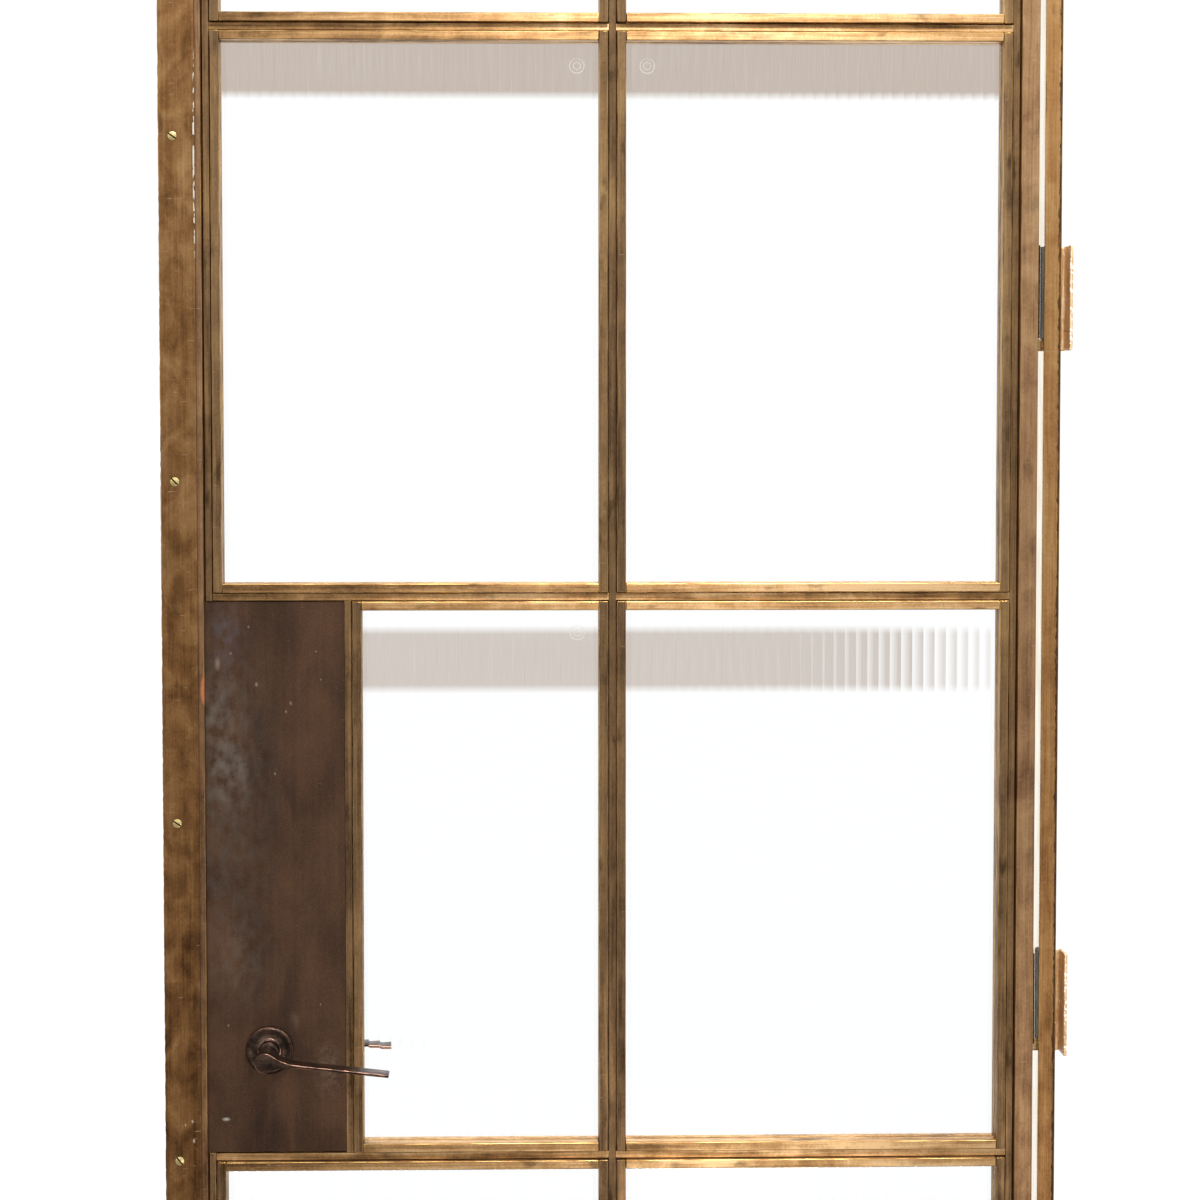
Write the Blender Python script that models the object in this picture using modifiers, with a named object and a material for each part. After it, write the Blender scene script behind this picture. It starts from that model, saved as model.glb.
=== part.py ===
# A tall hinged door of brass glazing bars with fluted glass, in its brass frame.
# Metres, +Z up. The door is seen from the front looking along +Y, with +X to the right.
# The origin is at mid height on the hinge jamb's face that stands against the wall.
import math

import bmesh
import bpy
from mathutils import Matrix, Vector

for leftover in list(bpy.data.objects):
    bpy.data.objects.remove(leftover, do_unlink=True)

# Clear distance between pieces that touch
SEAM = 0.0003

# Frame
JAMB_WIDTH = 0.019
JAMB_REBATE_WIDTH = 0.003
JAMB_REBATE_DEPTH = 0.005
SIDE_GAP = 0.006
HEAD_GAP = 0.006
FLOOR_GAP = 0.008

# Leaf
LEAF_WIDTH = 0.900
LEAF_DEPTH = 0.036
ROW_PITCH = 0.598
ROW_COUNT = 4
KICK_HEIGHT = 0.285          # leaf's lower edge to the middle of the lowest glazing bar
RIM_WIDTH = 0.019
GROOVE_WIDTH = 0.0015
GROOVE_DEPTH = 0.012
WEB_WIDTH = 0.0071
WEB_SETBACK = 0.006          # faces of the glazing bars behind the faces of the beads
BEAD_WIDTH = 0.0095
BEAD_GAP = 0.0012
GLASS_SETBACK = 0.019        # face of the beads to the face of the glass
GLASS_THICKNESS = 0.006
GLASS_EDGE_GAP = 0.0015

# Lock case, in the leaf's free side of one row
LOCK_ROW = 1                 # rows count upwards from 0 above the kick panel
LOCK_WIDTH = 0.147
LOCK_SETBACK = 0.008
LOCK_WALL = 0.003
LOCK_BACK_SETBACK = 0.002
LOCK_EDGE_GAP = 0.0012

# Lever handles
HANDLE_FROM_EDGE = 0.085
HANDLE_ABOVE_BAR = 0.115
ROSE_RADIUS = 0.0255
ROSE_THICKNESS = 0.008
NECK_RADIUS = 0.0105
NECK_CLEARANCE = 0.0004
LEVER_REACH = 0.075          # plate to the outer edge of the blade
LEVER_LENGTH = 0.130
BLADE_DEPTH = 0.025
BLADE_THICKNESS = 0.003
BLADE_TAPER = 0.062          # hub centre to where the blade reaches its full thinness
LEVER_SLOPE = math.radians(6.4)
SPINDLE_SIDE = 0.008
SPINDLE_CLEARANCE = 0.0004
SPINDLE_HOLE_RADIUS = 0.0075
SOCKET_DEPTH = 0.022

# Cover strip on the jamb of the lock side
STRIP_WIDTH = 0.038
STRIP_THICKNESS = 0.005
SCREW_COUNT = 8
SCREW_FROM_EDGE = 0.015
SCREW_FROM_FLOOR = 0.168
SCREW_FROM_TOP = 0.041
SCREW_HEAD_RADIUS = 0.00475
SCREW_HEAD_HEIGHT = 0.0027
SCREW_SHANK_RADIUS = 0.0022
SCREW_LENGTH = 0.018
SCREW_SLOT_WIDTH = 0.0012
SCREW_SLOT_DEPTH = 0.001

# Lift-off hinges
HINGE_COUNT = 4
HINGE_HEIGHT = 0.111
HINGE_FROM_FLOOR = 0.2955
HINGE_FROM_TOP = 0.150       # leaf's upper edge to the middle of the top hinge
FOOT_HEIGHT = 0.0127         # the frame's knuckle, under the leaf's long one
FOOT_PLAY = 0.0005
KNUCKLE_RADIUS = 0.0065
KNUCKLE_CLEARANCE = 0.0005
PIVOT_INSET = 0.003          # pivot behind the leaf, this far inside its edge
PIN_RADIUS = 0.0035
PIN_CLEARANCE = 0.0002
PIN_LENGTH = 0.070
EDGE_PLATE_THICKNESS = 0.002
EDGE_PLATE_FRONT = 0.006     # leaf's face to the plate's front edge
STRAP_THICKNESS = 0.003
LUG_REACH = 0.012            # beyond the jamb's wall face
LUG_FLANGE = 0.037
LUG_HOLE_RADIUS = 0.0025
LUG_HOLE_PITCH = 0.036
LUG_HOLE_FROM_BEND = 0.009

ROUND_SIDES = 32
SMALL_SIDES = 16

# Worked out from the sizes above; the jambs finish flush with the leaf, front and back
JAMB_DEPTH = LEAF_DEPTH
FRAME_WIDTH = LEAF_WIDTH + 2 * (SIDE_GAP + JAMB_WIDTH)
LIP = BEAD_GAP + BEAD_WIDTH
BAR_WIDTH = WEB_WIDTH + 2 * LIP
EDGE_TO_WEB = RIM_WIDTH + GROOVE_WIDTH + WEB_WIDTH
LEAF_HEIGHT = KICK_HEIGHT + ROW_COUNT * ROW_PITCH - WEB_WIDTH / 2 + EDGE_TO_WEB
FRAME_HEIGHT = FLOOR_GAP + LEAF_HEIGHT + HEAD_GAP + JAMB_WIDTH
FLANGE_SETBACK = GLASS_SETBACK + GLASS_THICKNESS + SEAM

FLOOR_Z = -FRAME_HEIGHT / 2
TOP_Z = FRAME_HEIGHT / 2
FRONT_Y = -JAMB_DEPTH / 2
BACK_Y = JAMB_DEPTH / 2
LEAF_RIGHT = -JAMB_WIDTH - SIDE_GAP
LEAF_LEFT = LEAF_RIGHT - LEAF_WIDTH
LEAF_MIDDLE = (LEAF_LEFT + LEAF_RIGHT) / 2
LEAF_BOTTOM = FLOOR_Z + FLOOR_GAP
LEAF_TOP = LEAF_BOTTOM + LEAF_HEIGHT
LEAF_BACK_Y = FRONT_Y + LEAF_DEPTH
BAR_LEVELS = [LEAF_BOTTOM + KICK_HEIGHT + row * ROW_PITCH for row in range(ROW_COUNT)]

PIVOT_X = LEAF_RIGHT - PIVOT_INSET
PIVOT_Y = LEAF_BACK_Y + KNUCKLE_CLEARANCE + KNUCKLE_RADIUS
HANDLE_X = LEAF_LEFT + HANDLE_FROM_EDGE
HANDLE_Z = BAR_LEVELS[LOCK_ROW] + HANDLE_ABOVE_BAR
LOCK_LEFT = LEAF_LEFT + RIM_WIDTH + SEAM
LOCK_RIGHT = LOCK_LEFT + LOCK_WIDTH
LOCK_BAR_X = LOCK_RIGHT + SEAM + WEB_WIDTH / 2
LOCK_FRONT_Y = FRONT_Y + LOCK_SETBACK
LOCK_BACK_Y = LEAF_BACK_Y - LOCK_BACK_SETBACK

parts = bpy.data.collections.new("brass_framed_glass_door")
helpers = bpy.data.collections.new("cutters")
for group in (parts, helpers):
    bpy.context.scene.collection.children.link(group)


def make_material(name, colour, metallic, roughness, transmission=0.0):
    material = bpy.data.materials.new(name)
    material.use_nodes = True
    shader = material.node_tree.nodes["Principled BSDF"]
    shader.inputs["Base Color"].default_value = (*colour, 1)
    shader.inputs["Metallic"].default_value = metallic
    shader.inputs["Roughness"].default_value = roughness
    shader.inputs["Transmission Weight"].default_value = transmission
    return material


aged_brass = make_material("aged_brass", (0.26, 0.14, 0.05), 1.0, 0.38)
bright_brass = make_material("bright_brass", (0.72, 0.48, 0.16), 1.0, 0.25)
raw_brass = make_material("raw_brass", (0.58, 0.34, 0.14), 1.0, 0.5)
brown_bronze = make_material("brown_bronze", (0.055, 0.028, 0.018), 0.9, 0.45)
dark_bronze = make_material("dark_bronze", (0.035, 0.022, 0.016), 1.0, 0.35)
fluted_glass = make_material("fluted_glass", (0.86, 0.93, 0.89), 0.0, 0.05, 1.0)


def empty_at(name, place, parent=None):
    empty = bpy.data.objects.new(name, None)
    parts.objects.link(empty)
    empty.location = Vector(place) - (Vector(parent["place"]) if parent else Vector())
    empty["place"] = place
    empty.parent = parent
    return empty


def put(name, mesh, place, material, parent=None, turn_y=0.0):
    piece = bpy.data.objects.new(name, mesh)
    parts.objects.link(piece)
    piece.location = Vector(place) - (Vector(parent["place"]) if parent else Vector())
    piece.rotation_euler = (0, turn_y, 0)
    piece.parent = parent
    mesh.materials.clear()
    mesh.materials.append(material)
    mesh.shade_smooth()
    mesh.set_sharp_from_angle(angle=math.radians(35))
    return piece


def as_mesh(source):
    # The evaluated shape of a curve or of an object with modifiers, welded, in its own axes
    graph = bpy.context.evaluated_depsgraph_get()
    mesh = bpy.data.meshes.new_from_object(source.evaluated_get(graph))
    shape = bmesh.new()
    shape.from_mesh(mesh)
    bmesh.ops.remove_doubles(shape, verts=shape.verts, dist=1e-6)
    shape.to_mesh(mesh)
    shape.free()
    bpy.data.objects.remove(source, do_unlink=True)
    return mesh


def box_mesh(low, high):
    shape = bmesh.new()
    size = Vector(high) - Vector(low)
    middle = (Vector(high) + Vector(low)) / 2
    bmesh.ops.create_cube(shape, size=1, matrix=Matrix.Translation(middle) @ Matrix.Diagonal((*size, 1)))
    mesh = bpy.data.meshes.new("box")
    shape.to_mesh(mesh)
    shape.free()
    return mesh


def rod_mesh(radius, length, sides, along="Z", start=0.0):
    # A round rod that begins at start on the axis named and runs in its positive direction
    turn = {"X": Matrix.Rotation(math.pi / 2, 4, "Y"), "Y": Matrix.Rotation(-math.pi / 2, 4, "X"), "Z": Matrix()}
    shape = bmesh.new()
    bmesh.ops.create_cone(
        shape, cap_ends=True, segments=sides, radius1=radius, radius2=radius, depth=length,
        matrix=turn[along] @ Matrix.Translation((0, 0, start + length / 2)),
    )
    mesh = bpy.data.meshes.new("rod")
    shape.to_mesh(mesh)
    shape.free()
    return mesh


def outline_mesh(points, length):
    # A closed outline in X and Y, extruded by length along Z, half of it each way
    curve = bpy.data.curves.new("outline", "CURVE")
    curve.dimensions = "2D"
    curve.fill_mode = "BOTH"
    curve.extrude = length / 2
    spline = curve.splines.new("POLY")
    spline.points.add(len(points) - 1)
    for point, (x, y) in zip(spline.points, points):
        point.co = (x, y, 0, 1)
    spline.use_cyclic_u = True
    drawn = bpy.data.objects.new("outline", curve)
    helpers.objects.link(drawn)
    return as_mesh(drawn)


def turned_mesh(profile, sides):
    # A closed profile of (radius, height) turned about Z
    mesh = bpy.data.meshes.new("profile")
    count = len(profile)
    edges = [(i, i + 1) for i in range(count - 1)]
    if min(radius for radius, _ in profile) > 0:
        edges.append((count - 1, 0))
    mesh.from_pydata([(radius, 0, height) for radius, height in profile], edges, [])
    drawn = bpy.data.objects.new("profile", mesh)
    helpers.objects.link(drawn)
    spin = drawn.modifiers.new("turn", "SCREW")
    spin.steps = spin.render_steps = sides
    spin.use_merge_vertices = True
    spin.merge_threshold = 0.00001
    spin.use_normal_calculate = True
    return as_mesh(drawn)


def helper(name, mesh, place=(0, 0, 0)):
    tool = bpy.data.objects.new(name, mesh)
    helpers.objects.link(tool)
    tool.location = place
    tool.hide_render = True
    tool.display_type = "WIRE"
    return tool


def cut(piece, tool, operation="DIFFERENCE"):
    boolean = piece.modifiers.new(tool.name, "BOOLEAN")
    boolean.operation = operation
    boolean.object = tool


def joined_mesh(first, others, cutters=()):
    # One mesh made of the first mesh with others joined to it and cutters taken from it
    body = helper("body", first)
    tools = [helper("tool", mesh) for mesh in (*others, *cutters)]
    for number, tool in enumerate(tools):
        cut(body, tool, "UNION" if number < len(others) else "DIFFERENCE")
    mesh = as_mesh(body)
    for tool in tools:
        bpy.data.objects.remove(tool, do_unlink=True)
    return mesh


def moved(mesh, offset=(0, 0, 0), turn=Matrix()):
    mesh.transform(Matrix.Translation(offset) @ turn)
    return mesh


leaf_pivot = empty_at("leaf_pivot", (PIVOT_X, PIVOT_Y, LEAF_BOTTOM))
lever_pivot = empty_at("lever_pivot", (HANDLE_X, LOCK_FRONT_Y, HANDLE_Z), leaf_pivot)


# Frame: two jambs under a head

def jamb_outline(rebate_width, rebate_depth):
    # The hinge jamb's front outer corner is rebated; its wall face is at x = 0
    return [
        (-JAMB_WIDTH, FRONT_Y),
        (-rebate_width, FRONT_Y),
        (-rebate_width, FRONT_Y + rebate_depth),
        (0, FRONT_Y + rebate_depth),
        (0, BACK_Y),
        (-JAMB_WIDTH, BACK_Y),
    ]


jamb_height = FRAME_HEIGHT - JAMB_WIDTH - SEAM
jamb_middle = FLOOR_Z + jamb_height / 2
put("hinge_jamb", outline_mesh(jamb_outline(JAMB_REBATE_WIDTH, JAMB_REBATE_DEPTH), jamb_height),
    (0, 0, jamb_middle), aged_brass)
lock_jamb = put(
    "lock_jamb",
    box_mesh((0, FRONT_Y, -jamb_height / 2), (JAMB_WIDTH, BACK_Y, jamb_height / 2)),
    (-FRAME_WIDTH, 0, jamb_middle), aged_brass,
)
put("head", box_mesh((-FRAME_WIDTH, FRONT_Y, TOP_Z - JAMB_WIDTH), (0, BACK_Y, TOP_Z)), (0, 0, 0), aged_brass)


# Cover strip, screwed to the lock jamb, which the leaf shuts against

strip_front = FRONT_Y - SEAM - STRIP_THICKNESS
cover_strip = put(
    "cover_strip",
    box_mesh((0, strip_front, FLOOR_Z), (STRIP_WIDTH, strip_front + STRIP_THICKNESS, TOP_Z)),
    (-FRAME_WIDTH, 0, 0), aged_brass,
)


def screw_profile(clearance):
    # Countersunk head, flush with z = 0, and shank down the -Z axis
    head = SCREW_HEAD_RADIUS + clearance
    shank = SCREW_SHANK_RADIUS + clearance
    return [
        (0, clearance),
        (head, clearance),
        (head, -0.0003),
        (shank, -SCREW_HEAD_HEIGHT - clearance),
        (shank, -SCREW_LENGTH - clearance),
        (0, -SCREW_LENGTH - clearance),
    ]


to_front = Matrix.Rotation(math.pi / 2, 4, "X")
screw_spacing = (FRAME_HEIGHT - SCREW_FROM_FLOOR - SCREW_FROM_TOP) / (SCREW_COUNT - 1)
screw_x = -FRAME_WIDTH + SCREW_FROM_EDGE
screw_low = FLOOR_Z + SCREW_FROM_FLOOR
screw_holes = helper(
    "screw_holes",
    moved(turned_mesh(screw_profile(SEAM), SMALL_SIDES), turn=to_front),
    (screw_x, strip_front, screw_low),
)
repeat = screw_holes.modifiers.new("each_screw", "ARRAY")
repeat.count = SCREW_COUNT
repeat.use_relative_offset = False
repeat.use_constant_offset = True
repeat.constant_offset_displace = (0, 0, screw_spacing)
cut(cover_strip, screw_holes)
cut(lock_jamb, screw_holes)

slot_half = SCREW_SLOT_WIDTH / 2
slot = box_mesh((-SCREW_HEAD_RADIUS * 1.2, -slot_half, -SCREW_SLOT_DEPTH),
                (SCREW_HEAD_RADIUS * 1.2, slot_half, SCREW_SLOT_DEPTH))
screw_mesh = moved(joined_mesh(turned_mesh(screw_profile(0), SMALL_SIDES), [], [slot]), turn=to_front)
for number in range(SCREW_COUNT):
    put(f"strip_screw_{number + 1}", screw_mesh, (screw_x, strip_front, screw_low + number * screw_spacing),
        bright_brass, turn_y=math.radians(38 + 67 * number))


# Leaf: a mitred surround with a rebate for the glass

def surround_outline():
    # x runs inwards from the leaf's edge, y backwards from its face
    web_start = RIM_WIDTH + GROOVE_WIDTH
    groove_bottom = WEB_SETBACK + GROOVE_DEPTH
    return [
        (0, 0),
        (RIM_WIDTH, 0),
        (RIM_WIDTH, groove_bottom),
        (web_start, groove_bottom),
        (web_start, WEB_SETBACK),
        (EDGE_TO_WEB, WEB_SETBACK),
        (EDGE_TO_WEB, FLANGE_SETBACK),
        (EDGE_TO_WEB + LIP, FLANGE_SETBACK),
        (EDGE_TO_WEB + LIP, LEAF_DEPTH),
        (0, LEAF_DEPTH),
    ]


def mitred_bar(length):
    mesh = outline_mesh(surround_outline(), length)
    seam_share = SEAM / math.sqrt(2)
    for vertex in mesh.vertices:
        vertex.co.z = math.copysign(length / 2 - vertex.co.x - seam_share, vertex.co.z)
    return mesh


leaf_middle_z = (LEAF_BOTTOM + LEAF_TOP) / 2
lock_stile = put("lock_stile", mitred_bar(LEAF_HEIGHT), (LEAF_LEFT, FRONT_Y, leaf_middle_z),
                 aged_brass, leaf_pivot)
put("hinge_stile", mitred_bar(LEAF_HEIGHT), (LEAF_RIGHT, FRONT_Y, leaf_middle_z),
    aged_brass, leaf_pivot, turn_y=math.pi)
put("bottom_rail", mitred_bar(LEAF_WIDTH), (LEAF_MIDDLE, FRONT_Y, LEAF_BOTTOM),
    aged_brass, leaf_pivot, turn_y=-math.pi / 2)
put("top_rail", mitred_bar(LEAF_WIDTH), (LEAF_MIDDLE, FRONT_Y, LEAF_TOP),
    aged_brass, leaf_pivot, turn_y=math.pi / 2)


# Glazing bars: a web with a wide flange behind the glass, coped where it meets another bar

def glazing_bar(name, low, high, place, upright=False):
    # low and high are the web faces that the bar runs between, along X or along Z
    web = (high - low) / 2 - SEAM
    flange = web - LIP
    cope = FLANGE_SETBACK - SEAM
    side = outline_mesh([
        (-web, WEB_SETBACK), (web, WEB_SETBACK), (web, cope), (flange, cope), (flange, LEAF_DEPTH),
        (-flange, LEAF_DEPTH), (-flange, cope), (-web, cope),
    ], WEB_WIDTH)
    back = box_mesh((-flange, FLANGE_SETBACK, -BAR_WIDTH / 2), (flange, LEAF_DEPTH, BAR_WIDTH / 2))
    middle = (low + high) / 2
    centre = (place, FRONT_Y, middle) if upright else (middle, FRONT_Y, place)
    put(name, joined_mesh(side, [back]), centre, aged_brass, leaf_pivot,
        turn_y=math.pi / 2 if upright else 0.0)


web_half = WEB_WIDTH / 2
left_web = LEAF_LEFT + EDGE_TO_WEB
right_web = LEAF_RIGHT - EDGE_TO_WEB
top_web = LEAF_TOP - EDGE_TO_WEB
bottom_web = LEAF_BOTTOM + EDGE_TO_WEB
columns = {"left": (left_web, LEAF_MIDDLE - web_half), "right": (LEAF_MIDDLE + web_half, right_web)}

glazing_bar("kick_bar", left_web, right_web, BAR_LEVELS[0])
glazing_bar("middle_bar", BAR_LEVELS[0] + web_half, top_web, LEAF_MIDDLE, upright=True)
for row, level in enumerate(BAR_LEVELS[1:], 1):
    for side, (low, high) in columns.items():
        glazing_bar(f"cross_bar_{side}_{row}", low, high, level)


# Panes, each held by a ring of bead against the flanges

def fill_bay(name, left, right, low, high, panel_name, panel_material):
    # A bay is the space between the web faces around one pane
    edge = GLASS_EDGE_GAP
    panel = box_mesh((left + edge, FRONT_Y + GLASS_SETBACK, low + edge),
                     (right - edge, FRONT_Y + GLASS_SETBACK + GLASS_THICKNESS, high - edge))
    put(panel_name, moved(panel, -Vector(leaf_pivot["place"])), leaf_pivot["place"],
        panel_material, leaf_pivot)
    back = FRONT_Y + GLASS_SETBACK - SEAM
    outer = box_mesh((left + BEAD_GAP, FRONT_Y, low + BEAD_GAP), (right - BEAD_GAP, back, high - BEAD_GAP))
    inner = box_mesh((left + LIP, FRONT_Y - BEAD_WIDTH, low + LIP),
                     (right - LIP, back + BEAD_WIDTH, high - LIP))
    ring = moved(joined_mesh(outer, [], [inner]), -Vector(leaf_pivot["place"]))
    put(name, ring, leaf_pivot["place"], aged_brass, leaf_pivot)


fill_bay("bead_kick", left_web, right_web, bottom_web, BAR_LEVELS[0] - web_half, "kick_panel", aged_brass)
for row in range(ROW_COUNT):
    low = BAR_LEVELS[row] + web_half
    high = BAR_LEVELS[row + 1] - web_half if row + 1 < ROW_COUNT else top_web
    for side, (left, right) in columns.items():
        if (side, row) == ("left", LOCK_ROW):
            left = LOCK_BAR_X + web_half
        fill_bay(f"bead_{side}_{row}", left, right, low, high, f"glass_{side}_{row}", fluted_glass)


# Lock case in place of glass, and the bar beside it

lock_low = BAR_LEVELS[LOCK_ROW] + web_half
lock_high = BAR_LEVELS[LOCK_ROW + 1] - web_half
glazing_bar("lock_bar", lock_low, lock_high, LOCK_BAR_X, upright=True)

plate_low = lock_low + LOCK_EDGE_GAP
plate_high = lock_high - LOCK_EDGE_GAP
plate_back = LOCK_FRONT_Y + LOCK_WALL
case_low = lock_low + LIP + SEAM
case_high = lock_high - LIP - SEAM
case_right = LOCK_BAR_X - BAR_WIDTH / 2 - SEAM
lock_case = joined_mesh(
    box_mesh((LOCK_LEFT, LOCK_FRONT_Y, plate_low), (LOCK_RIGHT, plate_back, plate_high)),
    [box_mesh((LOCK_LEFT, LOCK_FRONT_Y + LOCK_WALL / 2, case_low), (case_right, LOCK_BACK_Y, case_high))],
    [
        box_mesh((LOCK_LEFT + LOCK_WALL, plate_back, case_low + LOCK_WALL),
                 (case_right - LOCK_WALL, LOCK_BACK_Y - LOCK_WALL, case_high - LOCK_WALL)),
        moved(rod_mesh(SPINDLE_HOLE_RADIUS, LEAF_DEPTH * 2, SMALL_SIDES, "Y", -LEAF_DEPTH),
              (HANDLE_X, 0, HANDLE_Z)),
    ],
)
put("lock_case", moved(lock_case, -Vector(leaf_pivot["place"])), leaf_pivot["place"], brown_bronze, leaf_pivot)

# The lock stile's web and flange stop short of the case
behind = LEAF_DEPTH
web_end = LEAF_LEFT + EDGE_TO_WEB + LIP + behind
cut(lock_stile, helper("stile_cut_for_plate", box_mesh(
    (LEAF_LEFT + RIM_WIDTH, FRONT_Y - behind, plate_low - SEAM),
    (web_end, plate_back + SEAM, plate_high + SEAM))))
cut(lock_stile, helper("stile_cut_for_case", box_mesh(
    (LEAF_LEFT + RIM_WIDTH, FRONT_Y - behind, case_low - SEAM),
    (web_end, LEAF_BACK_Y + behind, case_high + SEAM))))


# Roses: rounded discs with a hole that the lever's neck turns in

def rose_mesh():
    bore = NECK_RADIUS + NECK_CLEARANCE
    edge = ROSE_THICKNESS * 0.4
    steps = 4
    rounding = [
        (ROSE_RADIUS - edge + edge * math.cos(math.pi / 2 * step / steps),
         ROSE_THICKNESS - edge + edge * math.sin(math.pi / 2 * step / steps))
        for step in range(steps, -1, -1)
    ]
    return turned_mesh([(bore, ROSE_THICKNESS), *rounding, (ROSE_RADIUS, 0), (bore, 0)], ROUND_SIDES)


put("rose_front", moved(rose_mesh(), turn=to_front), (HANDLE_X, LOCK_FRONT_Y - SEAM, HANDLE_Z),
    dark_bronze, leaf_pivot)
put("rose_back", moved(rose_mesh(), turn=Matrix.Rotation(-math.pi / 2, 4, "X")),
    (HANDLE_X, LOCK_BACK_Y + SEAM, HANDLE_Z), dark_bronze, leaf_pivot)


# Levers: a round neck, and a flat blade that tapers out of its end

def blade_outline():
    # In X and Z about the hub centre: round hub, straight taper, thin blade with a round tip
    half = BLADE_THICKNESS / 2
    lean = math.asin((NECK_RADIUS - half) / BLADE_TAPER)
    upper = []
    hub_steps = 14
    for step in range(hub_steps + 1):
        angle = math.pi - (math.pi / 2 + lean) * step / hub_steps
        upper.append((NECK_RADIUS * math.cos(angle), NECK_RADIUS * math.sin(angle)))
    tip_steps = 4
    upper.append((BLADE_TAPER, half))
    for step in range(tip_steps + 1):
        angle = math.pi / 2 * (1 - step / tip_steps)
        upper.append((LEVER_LENGTH - half + half * math.cos(angle), half * math.sin(angle)))
    lower = [(x, -z) for x, z in reversed(upper[1:-1])]
    slope = Matrix.Rotation(-LEVER_SLOPE, 2)
    return [tuple(slope @ Vector(point)) for point in upper + lower]


def lever_mesh(plate_to_hub_end):
    # Grows along +Z from the plate at z = 0: neck, then the blade across its end
    neck_start = ROSE_THICKNESS / 2
    blade = moved(outline_mesh(blade_outline(), BLADE_DEPTH), (0, 0, plate_to_hub_end - BLADE_DEPTH / 2))
    neck_length = plate_to_hub_end - BLADE_DEPTH / 2 - neck_start
    return blade, rod_mesh(NECK_RADIUS * 0.999, neck_length, ROUND_SIDES, "Z", neck_start)


def square_rod(side, start, end):
    half = side / 2
    return box_mesh((-half, -half, start), (half, half, end))


blade, neck = lever_mesh(LEVER_REACH)
plates_apart = LOCK_BACK_Y - LOCK_FRONT_Y
spindle_end = plates_apart + ROSE_THICKNESS / 2 + SOCKET_DEPTH - SEAM
spindle = square_rod(SPINDLE_SIDE, -spindle_end, ROSE_THICKNESS)
front_lever = moved(joined_mesh(blade, [neck, spindle]), turn=to_front)
put("lever_front", front_lever, (HANDLE_X, LOCK_FRONT_Y, HANDLE_Z), dark_bronze, lever_pivot)

blade, neck = lever_mesh(LEVER_REACH)
socket = square_rod(SPINDLE_SIDE + 2 * SPINDLE_CLEARANCE, -ROSE_THICKNESS, ROSE_THICKNESS / 2 + SOCKET_DEPTH)
back_lever = joined_mesh(blade, [neck], [socket])
# The back lever is the front one seen in a mirror, so that both blades lie towards the hinges
back_lever.transform(Matrix(((1, 0, 0, 0), (0, 0, 1, 0), (0, 1, 0, 0), (0, 0, 0, 1))))
back_lever.flip_normals()
put("lever_back", back_lever, (HANDLE_X, LOCK_BACK_Y, HANDLE_Z), dark_bronze, lever_pivot)


# Hinges: the frame's half wraps behind the jamb to a fixing lug, the leaf's half lifts off its pin

def frame_hinge_mesh():
    # About the pivot's axis, from the hinge's lower end at z = 0
    strap_front = BACK_Y + SEAM - PIVOT_Y
    strap_back = strap_front + STRAP_THICKNESS
    inner = -JAMB_WIDTH - PIVOT_X
    outer = LUG_REACH - PIVOT_X
    lug = moved(outline_mesh([
        (inner, strap_front), (outer - STRAP_THICKNESS, strap_front),
        (outer - STRAP_THICKNESS, strap_back - LUG_FLANGE), (outer, strap_back - LUG_FLANGE),
        (outer, strap_back), (inner, strap_back),
    ], HINGE_HEIGHT), (0, 0, HINGE_HEIGHT / 2))
    arm = box_mesh((0, strap_front, 0), (inner + STRAP_THICKNESS, KNUCKLE_RADIUS / 2, FOOT_HEIGHT))
    foot = rod_mesh(KNUCKLE_RADIUS, FOOT_HEIGHT, SMALL_SIDES)
    pin = rod_mesh(PIN_RADIUS, PIN_LENGTH + FOOT_HEIGHT / 2, SMALL_SIDES, "Z", FOOT_HEIGHT / 2)
    hole_y = strap_back - LUG_HOLE_FROM_BEND
    holes = [
        moved(rod_mesh(LUG_HOLE_RADIUS, STRAP_THICKNESS * 3, SMALL_SIDES, "X", outer - STRAP_THICKNESS * 2),
              (0, hole_y, HINGE_HEIGHT / 2 + step * LUG_HOLE_PITCH))
        for step in (-1, 0, 1)
    ]
    return joined_mesh(lug, [arm, foot, pin], holes)


def leaf_hinge_mesh():
    low = FOOT_HEIGHT + FOOT_PLAY
    barrel = rod_mesh(KNUCKLE_RADIUS, HINGE_HEIGHT - low, SMALL_SIDES, "Z", low)
    plate_left = LEAF_RIGHT + SEAM - PIVOT_X
    plate = box_mesh((plate_left, FRONT_Y + EDGE_PLATE_FRONT - PIVOT_Y, low),
                     (plate_left + EDGE_PLATE_THICKNESS, 0, HINGE_HEIGHT))
    bore = rod_mesh(PIN_RADIUS + PIN_CLEARANCE, PIN_LENGTH + FOOT_HEIGHT, SMALL_SIDES, "Z", FOOT_PLAY)
    return joined_mesh(barrel, [plate], [bore])


hinge_low = FLOOR_Z + HINGE_FROM_FLOOR - HINGE_HEIGHT / 2
hinge_high = LEAF_TOP - HINGE_FROM_TOP - HINGE_HEIGHT / 2
hinge_spacing = (hinge_high - hinge_low) / (HINGE_COUNT - 1)
frame_half = frame_hinge_mesh()
leaf_half = leaf_hinge_mesh()
for number in range(HINGE_COUNT):
    place = (PIVOT_X, PIVOT_Y, hinge_low + number * hinge_spacing)
    put(f"hinge_lug_{number + 1}", frame_half, place, raw_brass)
    put(f"hinge_leaf_{number + 1}", leaf_half, place, dark_bronze, leaf_pivot)
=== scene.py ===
import math

import bmesh
import bpy
from mathutils import Matrix, Vector, noise


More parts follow.
